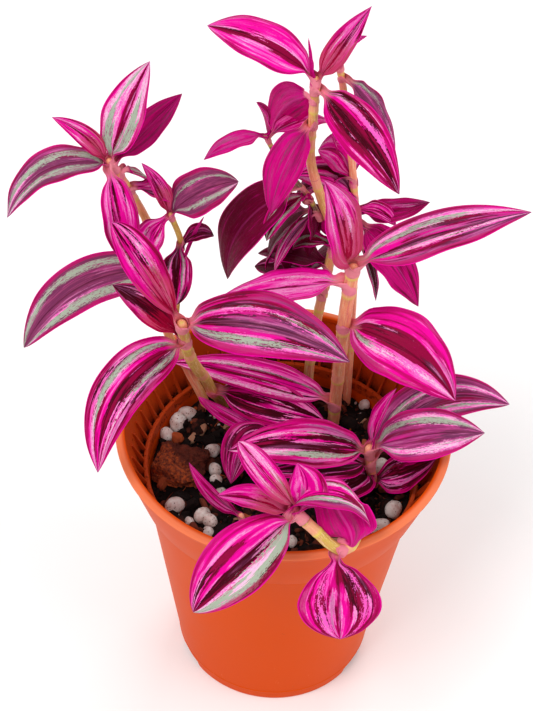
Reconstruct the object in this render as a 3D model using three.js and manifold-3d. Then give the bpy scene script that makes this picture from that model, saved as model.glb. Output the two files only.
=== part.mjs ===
// A young purple-leaved spiderwort in a 12 cm nursery pot: pot, potting mix, a bark chunk, eleven jointed stems and
// their leaves. Millimetres, +Z up, +X to the right and -Y to the front; the origin is the middle of the pot's underside.
import * as THREE from "three";
import { mergeVertices } from "three/addons/utils/BufferGeometryUtils.js";
import Module from "manifold-3d";

const wasm = await Module();
wasm.setup();

// Pot
const POT_HEIGHT = 120;
const RIM_RADIUS = 60;
const LIP_WIDTH = 3.4;
const LIP_DEPTH = 2;
const COLLAR_DEPTH = 24.5;
const COLLAR_FOOT_RADIUS = 52.4;
const COLLAR_WALL = 1.8;
const BODY_TOP_RADIUS = 49.9;
const BODY_FOOT_RADIUS = 36.9;
const BODY_WALL = 1.6;
const RING_TOP = 100;
const RING_RADIUS = 50.4;
const GUTTER_FLOOR = 97;
const FLOOR_THICKNESS = 1.8;
const FLOOR_RISE = 2;
const DISC_RADIUS = 24;
const FOOT_INNER_RADIUS = 33;
const FIN_COUNT = 60;
const FIN_THICKNESS = 0.8;
const FIN_TOP = 108;
const NOTCH_HEADINGS = [90, -30, -150];
const NOTCH_WIDTH = 13;
const NOTCH_HEIGHT = 2.4;

// Potting mix
const SOIL_LEVEL = 92;
const SOIL_GAP = 0.4;
const SOIL_BUMP = 1.1;
const STEM_SINK = 8;
const TOUCH_GAP = 0.3;

// Bark chunk lying on the mix
const BARK_CENTRE = [-36.8, -0.5, 95.6];
const BARK_HALF_SIZE = [10.4, 8.6, 3.6];
const BARK_HEADING = -25;

// Stems and leaves
const STEM_SIDES = 8;
const STEM_STEP = 7;
const LEAF_THICKNESS = 0.6;
const LEAF_STEPS = 7;
const LEAF_LANES = 2;
const LEAF_WIDEST = 0.4;
const LEAF_POINTEDNESS = 1.55;
const LEAF_BASE_SHARE = 0.1;
const LEAF_TIP_SHARE = 0.03;

const COLOURS = {
  pot: new THREE.MeshStandardMaterial({ color: 0xd9572a, roughness: 0.45 }),
  soil: new THREE.MeshStandardMaterial({ color: 0x1c1310, roughness: 0.95 }),
  bark: new THREE.MeshStandardMaterial({ color: 0x6b2f17, roughness: 0.9 }),
  stem: new THREE.MeshStandardMaterial({ color: 0xc98f62, roughness: 0.5 }),
  leaf: new THREE.MeshStandardMaterial({ color: 0xb0127a, roughness: 0.4 }),
};

// Each stem runs through these points, from inside the mix to its growing tip.
const STEMS = {
  right: { radius: 2.3, points: [[19, 26, 84], [19, 26, 92], [19, 24, 107], [19, 18, 141], [19, 12, 165], [20, 6, 193]] },
  tall: { radius: 2.1, points: [[9, 40, 84], [9, 40, 104], [10, 37, 131], [13, 34, 165], [14, 31, 183], [9, 29, 200], [4, 25, 222], [4, 23, 240], [4, 20, 258]] },
  back: { radius: 1.7, points: [[24, 37, 84], [24, 38, 100], [23, 40, 144], [22, 40, 176], [20, 38, 197], [17, 35, 220], [14, 33, 240], [11, 30, 257]] },
  left: { radius: 1.9, points: [[-29, 31, 84], [-30, 31, 96], [-36, 33, 110], [-44, 31, 134], [-46, 27, 165], [-48.5, 22, 191], [-54, 16, 212], [-60, 11, 229]] },
  side: { radius: 1.4, points: [[-40.9, 29, 137], [-40, 28, 150], [-39, 25, 170], [-38, 22, 185], [-41, 15, 204]] },
  twig: { radius: 1.2, points: [[8.9, 31, 190], [4, 29.5, 202], [-1, 27, 211], [-7, 25, 222], [-11, 22, 233]] },
  middle: { radius: 2.2, points: [[-22, 33, 84], [-23, 32, 94], [-27, 25, 109], [-29, 20, 120], [-33, 10, 139], [-35, 2, 156], [-36, -6, 175]] },
  low: { radius: 1.8, points: [[35, -3, 84], [34, -4, 92], [32, -8, 106], [30, -13, 125]] },
  rim: { radius: 2.1, points: [[26, -30, 84], [26, -36, 100], [26, -42, 114], [25.9, -48, 121.5], [25.2, -53.2, 124.6], [23.2, -57.6, 125.4], [20, -60, 126.4], [16, -59.8, 129.3], [12, -58.4, 133], [2.3, -56, 142.3]] },
  young: { radius: 1.3, points: [[-3, 13, 84], [-3, 12, 94], [-3, 11, 102]] },
  shoot: { radius: 1.2, points: [[-13, -24, 84], [-13, -24, 92], [-14, -23, 97]] },
};

// Leaves: [stem, height of its node, tip, greatest width, arch of the midrib upward, bow of the midrib to its left,
// roll of the blade, fold of each half, share of the length where it is widest]. Angles in degrees.
const LEAVES = {
  right_leaf_1: ["right", 193, [77, 18, 209], 19, 3, 0, 10, 8],
  right_leaf_2: ["right", 193, [8, -3, 236], 17, 1, 0, -40, 40],
  right_leaf_3: ["right", 182, [-24, 16, 166], 17, 1, 0, -5, 5],
  right_leaf_4: ["right", 158, [58, -8, 145], 29, 7, 0, 12, 5],
  right_leaf_5: ["right", 107, [-42, 28, 120], 14, 2, -1.5, 0, 5],
  middle_leaf_1: ["middle", 175, [-58, -4, 216], 15, 0, 0, -40, 30],
  middle_leaf_2: ["middle", 164, [-60, 8, 177], 11, 2, 0, 0, 30],
  middle_leaf_3: ["middle", 160, [-62, -38, 134], 19, 12, -4, -15, 5],
  middle_leaf_4: ["middle", 173, [20, -18, 172], 25, 8, 0, 20, 5],
  middle_leaf_5: ["middle", 110, [15, 16, 105], 16, 1, 0, 15, 5],
  left_leaf_1: ["left", 227, [-91, -3, 215], 15, 10, 0, -10, 10],
  left_leaf_2: ["left", 229, [-77, 12, 244], 9, 2, 0, -50, 30],
  left_leaf_3: ["left", 229, [-47, 20, 261], 13, 1, 0, 0, 15],
  left_leaf_4: ["left", 226, [-38, 32, 240], 12, 0, 0, 20, 15],
  left_leaf_5: ["left", 227, [-54, 6, 191], 13, 3, -3, 0, 10],
  left_leaf_6: ["left", 168, [-91, 3, 150], 19, 12, 0, -25, 5],
  side_leaf_1: ["side", 204, [-50, 16, 224], 8, 1, 0, -50, 30],
  side_leaf_2: ["side", 204, [-19, 22, 213], 17, 3, 0, 25, 5],
  side_leaf_3: ["side", 186, [-40, 12, 168], 9, 3, 0, 0, 10],
  twig_leaf_1: ["twig", 233, [-30, 14, 228], 9, 2, 0, 0, 10],
  twig_leaf_2: ["twig", 233, [-14, 19, 248], 7, 1, 0, -40, 25],
  twig_leaf_3: ["twig", 231, [12, 40, 223], 10, 5, 0, 0, 5],
  twig_leaf_4: ["twig", 207, [-22, 24, 167], 20, 8, 0, -25, 5],
  tall_leaf_1: ["tall", 258, [-30, 30, 268], 17, 3, 0, -20, 10],
  tall_leaf_2: ["tall", 258, [19, 18, 286], 10, 0, 0, 60, 20],
  tall_leaf_3: ["tall", 253, [32, 4, 226], 17, 3, 0, 20, 5],
  tall_leaf_4: ["tall", 237, [-8, 8, 212], 15, 4, 0, 0, 10],
  tall_leaf_5: ["tall", 248, [-9, 35, 224], 15, 3, 0, -10, 10],
  back_leaf_1: ["back", 250, [31, 24, 220], 15, 3, 0, 0, 10],
  back_leaf_2: ["back", 257, [19, 27, 269], 5, 1, 0, 30, 30],
  back_leaf_3: ["back", 187, [46, 38, 194], 12, -2, 0, 10, 10],
  back_leaf_4: ["back", 182, [45, 24, 158], 19, 3, 0, 0, 5],
  low_leaf_1: ["low", 124, [70, -8, 129], 20, 3, 0, 0, 5],
  low_leaf_2: ["low", 121, [-19, -18, 125], 21, 4, 0, -10, 5],
  low_leaf_3: ["low", 125, [37, -12, 154], 9, 1, 0, 30, 35],
  low_leaf_4: ["low", 115, [81, 10, 128], 17, 7, 8, 10, 5],
  low_leaf_5: ["low", 105, [13, -23, 107], 14, 3, 3, 0, 5],
  low_leaf_6: ["low", 98, [52, -14, 117], 18, -1, 0, 25, 5],
  rim_leaf_1: ["rim", 140, [-27, -86, 124], 22, 4, 0, -20, 5, 0.45],
  rim_leaf_2: ["rim", 142, [-15, -52, 169], 11, 1, 2, -30, 30],
  rim_leaf_3: ["rim", 142, [-21, -58, 149], 9, 2, 0, 0, 30],
  rim_leaf_4: ["rim", 139.5, [28, -56, 134], 13, 10, 0, 0, 5],
  rim_leaf_5: ["rim", 127, [21, -84, 110], 28, 2, 0, 0, 5, 0.58],
  rim_leaf_6: ["rim", 141, [4, -53, 161], 9, 1, 0, 30, 30],
  young_leaf_1: ["young", 102, [-18, -12, 100], 17, 8, -3, 0, 10],
  shoot_leaf_1: ["shoot", 97, [-33, -14, 113], 7, 1, 3, -50, 30],
};

const radians = THREE.MathUtils.degToRad;

// A closed geometry as a solid that can be joined and cut.
function solidOf(geometry) {
  const bare = geometry.index ? geometry.toNonIndexed() : geometry.clone();
  bare.deleteAttribute("normal");
  bare.deleteAttribute("uv");
  const merged = mergeVertices(bare, 1e-3);
  return new wasm.Manifold(
    new wasm.Mesh({
      numProp: 3,
      vertProperties: merged.getAttribute("position").array,
      triVerts: new Uint32Array(merged.index.array),
    }),
  );
}

function geometryOf(solid) {
  const mesh = solid.getMesh();
  return new THREE.BufferGeometry()
    .setAttribute("position", new THREE.BufferAttribute(new Float32Array(mesh.vertProperties), 3))
    .setIndex(new THREE.BufferAttribute(new Uint32Array(mesh.triVerts), 1));
}

// A profile of [radius, height] points turned round the upright axis.
function turned(profile, segments) {
  const lathe = new THREE.LatheGeometry(profile.map(([r, z]) => new THREE.Vector2(r, z)), segments);
  return lathe.rotateX(Math.PI / 2);
}

const collarRadius = (z) =>
  RIM_RADIUS - ((RIM_RADIUS - COLLAR_FOOT_RADIUS) * (POT_HEIGHT - z)) / COLLAR_DEPTH;
const bodyRadius = (z) =>
  BODY_FOOT_RADIUS + ((BODY_TOP_RADIUS - BODY_FOOT_RADIUS) * z) / (POT_HEIGHT - COLLAR_DEPTH);

// The pot is one moulding: body, foot, tapered collar, lip, and a ring inside the collar braced by upright fins.
function potGeometry() {
  const collarFoot = POT_HEIGHT - COLLAR_DEPTH;
  const lipInner = RIM_RADIUS - LIP_WIDTH;
  const lipUnderside = POT_HEIGHT - LIP_DEPTH;
  const floorTop = FLOOR_RISE + FLOOR_THICKNESS;
  const profile = [
    [0, 0],
    [DISC_RADIUS, 0],
    [DISC_RADIUS + 1, FLOOR_RISE],
    [FOOT_INNER_RADIUS - 0.5, FLOOR_RISE],
    [FOOT_INNER_RADIUS, 0],
    [BODY_FOOT_RADIUS, 0],
    [BODY_TOP_RADIUS, collarFoot],
    [COLLAR_FOOT_RADIUS, collarFoot],
    [RIM_RADIUS, POT_HEIGHT - 0.6],
    [RIM_RADIUS - 0.6, POT_HEIGHT],
    [lipInner, POT_HEIGHT],
    [lipInner, lipUnderside],
    [collarRadius(lipUnderside) - COLLAR_WALL, lipUnderside - 0.7],
    [collarRadius(GUTTER_FLOOR) - COLLAR_WALL, GUTTER_FLOOR],
    [RING_RADIUS, GUTTER_FLOOR - 0.2],
    [RING_RADIUS, RING_TOP],
    [RING_RADIUS - BODY_WALL, RING_TOP],
    [bodyRadius(collarFoot) - BODY_WALL, collarFoot],
    [bodyRadius(floorTop) - BODY_WALL, floorTop],
    [0, floorTop],
  ];
  let pot = solidOf(turned(profile, FIN_COUNT));
  const finShape = new THREE.Shape([
    new THREE.Vector2(RING_RADIUS - 0.8, GUTTER_FLOOR - 0.4),
    new THREE.Vector2(collarRadius(GUTTER_FLOOR) - 0.9, GUTTER_FLOOR - 0.4),
    new THREE.Vector2(collarRadius(FIN_TOP) - 0.9, FIN_TOP),
    new THREE.Vector2(collarRadius(FIN_TOP) - COLLAR_WALL - 0.6, FIN_TOP),
    new THREE.Vector2(RING_RADIUS - 0.8, RING_TOP - 0.4),
  ]);
  for (let i = 0; i < FIN_COUNT; i++) {
    const fin = new THREE.ExtrudeGeometry(finShape, { depth: FIN_THICKNESS, bevelEnabled: false });
    fin.translate(0, 0, -FIN_THICKNESS / 2).rotateX(Math.PI / 2).rotateZ(((i + 0.5) / FIN_COUNT) * 2 * Math.PI);
    pot = pot.add(solidOf(fin));
  }
  for (const heading of NOTCH_HEADINGS) {
    const notch = new THREE.BoxGeometry(8, NOTCH_WIDTH, NOTCH_HEIGHT * 2);
    notch.translate(BODY_FOOT_RADIUS, 0, 0).rotateZ(radians(heading));
    pot = pot.subtract(solidOf(notch));
  }
  return geometryOf(pot);
}

// The curve of a stem, with its ends pushed out along it by a gap where a clearance is cut.
function stemCurve({ points }, extra = 0) {
  const path = points.map((p) => new THREE.Vector3(...p));
  path[0].addScaledVector(path[0].clone().sub(path[1]).normalize(), extra);
  return new THREE.CatmullRomCurve3(path, false, "centripetal");
}

function stemGeometry(stem, grow = 0) {
  const curve = stemCurve(stem, grow);
  const section = new THREE.Shape(
    Array.from({ length: STEM_SIDES }, (_, i) => {
      const angle = (i / STEM_SIDES) * 2 * Math.PI;
      return new THREE.Vector2(Math.cos(angle), Math.sin(angle)).multiplyScalar(stem.radius + grow);
    }),
  );
  return new THREE.ExtrudeGeometry(section, {
    extrudePath: curve,
    steps: Math.max(3, Math.round(curve.getLength() / STEM_STEP)),
    bevelEnabled: false,
  });
}

// The mix fills the pot to the fins' ring, with a lumpy top, and is cut clear of each stem that stands in it.
function soilGeometry() {
  const floorTop = FLOOR_RISE + FLOOR_THICKNESS + SOIL_GAP;
  const outer = (z) => bodyRadius(z) - BODY_WALL - SOIL_GAP;
  const rings = [0, 0.25, 0.5, 0.75, 0.93, 1];
  const profile = [[0, floorTop], [outer(floorTop), floorTop], [outer(SOIL_LEVEL), SOIL_LEVEL]];
  for (const share of rings.slice(0, -1).reverse()) profile.push([outer(SOIL_LEVEL) * share, SOIL_LEVEL]);
  const lump = turned(profile, 36);
  const place = lump.getAttribute("position");
  for (let i = 0; i < place.count; i++) {
    const [x, y, z] = [place.getX(i), place.getY(i), place.getZ(i)];
    const [barkX, barkY] = BARK_CENTRE;
    const clear = Math.min(1, Math.max(0, (Math.hypot(x - barkX, y - barkY) - 13) / 6));
    const edge = Math.min(1, Math.max(0, (outer(SOIL_LEVEL) - Math.hypot(x, y)) / 4));
    const wave = Math.sin(x * 0.21 + 1) * Math.cos(y * 0.19) + 0.6 * Math.sin((x + y) * 0.37);
    if (z > SOIL_LEVEL - 1) place.setZ(i, z + SOIL_BUMP * wave * clear * edge);
  }
  let soil = solidOf(lump);
  for (const stem of Object.values(STEMS)) {
    if (stem.points[0][2] < SOIL_LEVEL) soil = soil.subtract(solidOf(stemGeometry(stem, TOUCH_GAP)));
  }
  return geometryOf(soil);
}

// A rounded slab of bark with a broken outline and a flat underside.
function barkGeometry() {
  const bark = new THREE.IcosahedronGeometry(1, 2);
  const place = bark.getAttribute("position");
  for (let i = 0; i < place.count; i++) {
    const [x, y, z] = [place.getX(i), place.getY(i), place.getZ(i)];
    const chip = 1 + 0.09 * Math.sin(5 * x + 2 * y) + 0.07 * Math.cos(6 * y - 3 * z);
    const squared = (v) => Math.sign(v) * Math.abs(v) ** 0.75;
    place.setXYZ(
      i,
      squared(x) * chip * BARK_HALF_SIZE[0],
      squared(y) * chip * BARK_HALF_SIZE[1],
      Math.max(squared(z), -0.92) * BARK_HALF_SIZE[2],
    );
  }
  return bark.rotateZ(radians(BARK_HEADING)).translate(...BARK_CENTRE);
}

// The point of a stem at a height, and the stem's direction there.
function nodeOf(stem, height) {
  const curve = stemCurve(stem);
  let [low, high] = [0, 1];
  for (let i = 0; i < 30; i++) {
    const middle = (low + high) / 2;
    if (curve.getPoint(middle).z < height) low = middle;
    else high = middle;
  }
  return { point: curve.getPoint(high), along: curve.getTangent(high), top: height >= stem.points.at(-1)[2] - 0.5 };
}

// Half width of a leaf at a share of its length: round at the base, then drawn out to a point.
function halfWidth(share, width, widest) {
  const outline = (t) => (t ** widest * (1 - t) ** (1 - widest)) ** LEAF_POINTEDNESS;
  const body = outline(Math.min(1, Math.max(0, share))) / outline(widest);
  const least = share < widest ? LEAF_BASE_SHARE : LEAF_TIP_SHARE;
  return (width / 2) * Math.max(body, least);
}

// A leaf blade: a midrib arched over its chord, and two halves folded up from it, as a thin closed shell.
function leafGeometry([stemName, height, tip, width, arch, bow, roll, fold, widest = LEAF_WIDEST]) {
  const stem = STEMS[stemName];
  const node = nodeOf(stem, height);
  const end = new THREE.Vector3(...tip);
  const outward = end.clone().sub(node.point);
  outward.addScaledVector(node.along, -outward.dot(node.along)).normalize();
  const reach = stem.radius + TOUCH_GAP + 0.25;
  const start = node.top
    ? node.point.clone().addScaledVector(node.along, TOUCH_GAP + 0.3).addScaledVector(outward, stem.radius * 0.8)
    : node.point.clone().addScaledVector(outward, reach);
  const chord = end.clone().sub(start);
  const forward = chord.clone().normalize();
  const up = new THREE.Vector3(0, 0, 1);
  up.addScaledVector(forward, -up.dot(forward)).normalize();
  const bend = up.clone().multiplyScalar(arch);
  bend.addScaledVector(new THREE.Vector3().crossVectors(up, forward), bow);
  const positions = [];
  for (let i = 0; i <= LEAF_STEPS; i++) {
    const share = i / LEAF_STEPS;
    const middle = start.clone().addScaledVector(chord, share).addScaledVector(bend, 4 * share * (1 - share));
    const run = chord.clone().addScaledVector(bend, 4 * (1 - 2 * share)).normalize();
    const normal = up.clone().addScaledVector(run, -up.dot(run)).normalize().applyAxisAngle(run, radians(roll));
    const across = new THREE.Vector3().crossVectors(run, normal);
    const half = halfWidth(share, width, widest);
    for (const skin of [0.5, -0.5]) {
      for (let j = 0; j <= LEAF_LANES; j++) {
        const lane = (2 * j) / LEAF_LANES - 1;
        const point = middle.clone().addScaledVector(normal, skin * LEAF_THICKNESS);
        point.addScaledVector(across, lane * half * Math.cos(radians(fold)));
        point.addScaledVector(normal, Math.abs(lane) * half * Math.sin(radians(fold)));
        positions.push(point.x, point.y, point.z);
      }
    }
  }
  const row = 2 * (LEAF_LANES + 1);
  const top = (i, j) => i * row + j;
  const under = (i, j) => i * row + LEAF_LANES + 1 + j;
  const faces = [];
  const quad = (a, b, c, d) => faces.push(a, c, b, a, d, c);
  for (let i = 0; i < LEAF_STEPS; i++) {
    for (let j = 0; j < LEAF_LANES; j++) {
      quad(top(i, j), top(i + 1, j), top(i + 1, j + 1), top(i, j + 1));
      quad(under(i, j), under(i, j + 1), under(i + 1, j + 1), under(i + 1, j));
    }
    quad(top(i, 0), under(i, 0), under(i + 1, 0), top(i + 1, 0));
    quad(top(i, LEAF_LANES), top(i + 1, LEAF_LANES), under(i + 1, LEAF_LANES), under(i, LEAF_LANES));
  }
  for (let j = 0; j < LEAF_LANES; j++) {
    quad(top(0, j), top(0, j + 1), under(0, j + 1), under(0, j));
    quad(top(LEAF_STEPS, j), under(LEAF_STEPS, j), under(LEAF_STEPS, j + 1), top(LEAF_STEPS, j + 1));
  }
  const leaf = new THREE.BufferGeometry().setAttribute("position", new THREE.Float32BufferAttribute(positions, 3));
  leaf.setIndex(faces);
  leaf.computeVertexNormals();
  return leaf;
}

const plant = new THREE.Group();
function addPiece(name, geometry, material) {
  const piece = new THREE.Mesh(geometry, material);
  piece.name = name;
  plant.add(piece);
}

addPiece("pot", potGeometry(), COLOURS.pot);
addPiece("potting_mix", soilGeometry(), COLOURS.soil);
addPiece("bark_chunk", barkGeometry(), COLOURS.bark);
for (const [name, stem] of Object.entries(STEMS)) addPiece(`${name}_stem`, stemGeometry(stem), COLOURS.stem);
for (const [name, leaf] of Object.entries(LEAVES)) addPiece(name, leafGeometry(leaf), COLOURS.leaf);

export default plant;
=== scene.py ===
"""A young potted tradescantia: a tapered nursery pot, loose potting mix, jointed stems and striped leaves.

Lengths are in millimetres up to the last step of each piece, which puts them into its mesh in metres.
"""

import math
from typing import NamedTuple

import bpy
import numpy as np
from bpy.props import FloatProperty, FloatVectorProperty, IntProperty, PointerProperty
from mathutils import Matrix, Vector


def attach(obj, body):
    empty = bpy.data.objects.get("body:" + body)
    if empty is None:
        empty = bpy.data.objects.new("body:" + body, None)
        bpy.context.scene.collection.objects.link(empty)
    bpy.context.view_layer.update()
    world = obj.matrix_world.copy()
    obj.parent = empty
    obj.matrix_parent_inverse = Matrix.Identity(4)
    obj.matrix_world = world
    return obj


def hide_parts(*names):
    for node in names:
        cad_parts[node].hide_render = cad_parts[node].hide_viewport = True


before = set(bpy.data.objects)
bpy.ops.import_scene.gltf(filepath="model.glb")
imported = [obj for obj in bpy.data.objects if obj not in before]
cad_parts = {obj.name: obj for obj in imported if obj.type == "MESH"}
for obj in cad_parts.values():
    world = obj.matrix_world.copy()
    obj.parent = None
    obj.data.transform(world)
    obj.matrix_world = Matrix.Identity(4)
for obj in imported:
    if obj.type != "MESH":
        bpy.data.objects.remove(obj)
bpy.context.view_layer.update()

bl_info = {
    "name": "Potted tradescantia",
    "version": (1, 0, 0),
    "blender": (4, 5, 0),
    "location": "View3D > Sidebar > Tradescantia",
    "description": "Builds a potted tradescantia piece by piece, with its stage",
    "category": "Add Mesh",
}

MM = 0.001
BODY = "root"

# Pot
POT_HEIGHT = 120
RIM_RADIUS = 60
LIP_WIDTH = 3.4
LIP_DEPTH = 2
COLLAR_DEPTH = 24.5
COLLAR_FOOT_RADIUS = 52.4
COLLAR_WALL = 1.8
COLLAR_SLOPE = 0.31
BODY_TOP_RADIUS = 49.9
BODY_FOOT_RADIUS = 36.9
BODY_WALL = 1.6
RING_TOP = 100
RING_RADIUS = 50.4
GUTTER_FLOOR = 97
FLOOR_THICKNESS = 1.8
FLOOR_RISE = 2
DISC_RADIUS = 24
FOOT_INNER_RADIUS = 33
FIN_COUNT = 60
FIN_THICKNESS = 0.8
FIN_TOP = 108
NOTCH_HEADINGS = (90, -30, -150)
NOTCH_WIDTH = 13
NOTCH_HEIGHT = 2.4

# Potting mix
SOIL_LEVEL = 92
SOIL_RADIUS = 47.6
SOIL_DEPTH = 12

# Bark slab: middle, half sizes and heading in degrees
BARK_CENTRE = (-36.8, -0.5, 95.6)
BARK_HALF_SIZE = (10.4, 8.6, 3.6)
BARK_HEADING = -25
BARK_CLEARANCE = 10

# Pale grit on the mix: x, y, diameter
GRIT = (
    (-38, 27.5, 6.4), (-41.3, 22.3, 6.6), (-44.5, 15.5, 5), (-25.8, 7.8, 5.6), (-24.2, -0.8, 5), (-23.6, -6.5, 4.2),
    (-21.9, -10.6, 4), (-37.7, -18.5, 6), (-27.7, -22.6, 5.6), (-24.8, -25, 5), (-32.2, -25.5, 4), (-25.2, -30.1, 4.4),
    (-21.5, 41.5, 3), (-31.6, 7.5, 3), (37.1, 2.4, 6.6), (40.8, -16.7, 6.2), (36, -24.3, 6.4), (29.2, -17.8, 3.2),
    (30.7, 34.4, 4), (4.7, -32, 3.8), (20, -14, 3.5), (-6, 36, 4), (-14, 15, 3.4), (12, 2, 3.6),
)

# Larger chips: place on the mix, length, width, height and tone from dark to tan
ACCENTS = (
    (-39.1, 13.4, 6, 4.4, 4, 0.9), (-31.8, 15.9, 9, 3.4, 2.6, 0.97), (-27, 3, 7, 4, 3, 0.6), (-18, 20, 8, 3, 2.5, 0.75),
    (-21, -16, 9, 3.6, 3, 0.8), (-30, -30, 7, 4, 3, 0.7), (-16, -33, 9, 3, 3, 0.85), (6, -38, 8, 4, 3, 0.7),
    (31, -30, 8, 4, 3, 0.65), (39, -6, 6, 4, 3, 0.75), (41, 12, 7, 3, 3, 0.85), (27, 5, 8, 3.4, 3, 0.6),
    (-10, 28, 7, 4, 3, 0.9), (-31, 29, 6, 3, 3, 0.7), (33, 26, 8, 4, 3, 0.6), (-43, -8, 6, 3, 3, 0.85),
)

# How far a blade's foot climbs the stem before it turns outward, and the length of the sheath from a joint to its mouth
SHEATH = 4
SHEATH_RUN = 5.5

# Skin of a stem, as shares of its radius: swelling at a joint and in a sheath, and height of the ribs along it. The
# width of a joint is in millimetres.
JOINT_SWELLING = 0.08
JOINT_WIDTH = 0.7
SHEATH_SWELLING = 0.13
RIB_COUNT = 9
RIB_HEIGHT = 0.025

# Cross-section of a blade: thickness at the midrib and what it loses to the margin in millimetres, fold of each half
# beyond the blade's own, all along and at its foot, in degrees, and as shares of the half width the bulge of each half,
# the groove along the midrib and the slow waves along the margin
LEAF_THICKNESS = 0.5
MARGIN_THINNING = 0.34
USUAL_FOLD = 13
FOOT_FOLD = 45
HALF_BULGE = 0.22
MIDRIB_GROOVE = 0.05
MARGIN_WAVE = 0.05

# Half width of a blade's very tip, as a share of its greatest width
TIP_SHARE = 0.006

# Each stem: radius at its foot and tip, points from inside the mix to its growing tip, heights of its leafless joints,
# and how green it is
STEMS = {
    "right": (
        (2.3, 2.35), ((19, 26, 84), (19, 26, 92), (19, 24, 107), (19, 18, 141), (19, 12, 165), (20, 6, 193)),
        (98, 121, 139, 174), 0.2,
    ),
    "tall": (
        (2, 1.5), ((9, 40, 84), (9, 40, 104), (10, 37, 131), (13, 34, 165), (14, 31, 183), (9, 29, 200), (4, 25, 222),
        (4, 23, 240), (4, 20, 258)), (112, 143, 176, 207, 226), 0.5,
    ),
    "back": (
        (1.6, 1.15), ((24, 37, 84), (24, 38, 100), (23, 40, 144), (22, 40, 176), (20, 38, 197), (17, 35, 220),
        (14, 33, 240), (11, 30, 257)), (120, 150, 223), 0.15,
    ),
    "left": (
        (1.9, 1.35), ((-29, 31, 84), (-30, 31, 96), (-36, 33, 110), (-44, 31, 134), (-46, 27, 165), (-48.5, 22, 191),
        (-54, 16, 212), (-60, 11, 229)), (118, 147, 190, 209), 0.4,
    ),
    "side": (
        (1.3, 1), ((-40.9, 29, 137), (-40, 28, 150), (-39, 25, 170), (-38, 22, 185), (-41, 15, 204)), (160,), 0.8,
    ),
    "twig": (
        (1, 0.8), ((8.9, 31, 190), (4, 29.5, 202), (-1, 27, 211), (-7, 25, 222), (-11, 22, 233)), (220,), 1.6,
    ),
    "middle": (
        (2.2, 2), ((-22, 33, 84), (-23, 32, 94), (-27, 25, 109), (-29, 20, 120), (-33, 10, 139), (-35, 2, 156),
        (-36, -6, 175)), (124, 145), 0.75,
    ),
    "low": (
        (1.7, 1.8), ((35, -3, 84), (34, -4, 92), (32, -8, 106), (30, -13, 125)), (), 0.15,
    ),
    "rim": (
        (2, 1.95), ((26, -30, 84), (26, -36, 100), (26, -42, 114), (25.9, -48, 121.5), (25.2, -53.2, 124.6),
        (23.2, -57.6, 125.4), (20, -60, 126.4), (16, -59.8, 129.3), (12, -58.4, 133), (2.3, -56, 142.3)), (133,), 0.8,
    ),
    "young": (
        (1.3, 1.2), ((-3, 13, 84), (-3, 12, 94), (-3, 11, 102)), (), 0.3,
    ),
    "shoot": (
        (1.2, 1.1), ((-13, -24, 84), (-13, -24, 92), (-14, -23, 97)), (), 0.3,
    ),
}


class Leaf(NamedTuple):
    """A leaf of the stem that its name begins with. Angles are in degrees."""

    height: float  # of its joint
    tip: tuple
    width: float  # at its widest
    arch: float  # of the midrib upward
    bow: float  # of the midrib to its left
    roll: float  # of the whole blade
    fold: float  # of each half
    tones: tuple  # silver, pink, dark, plain
    widest: float = 0.4  # share of the length where it is widest


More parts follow.
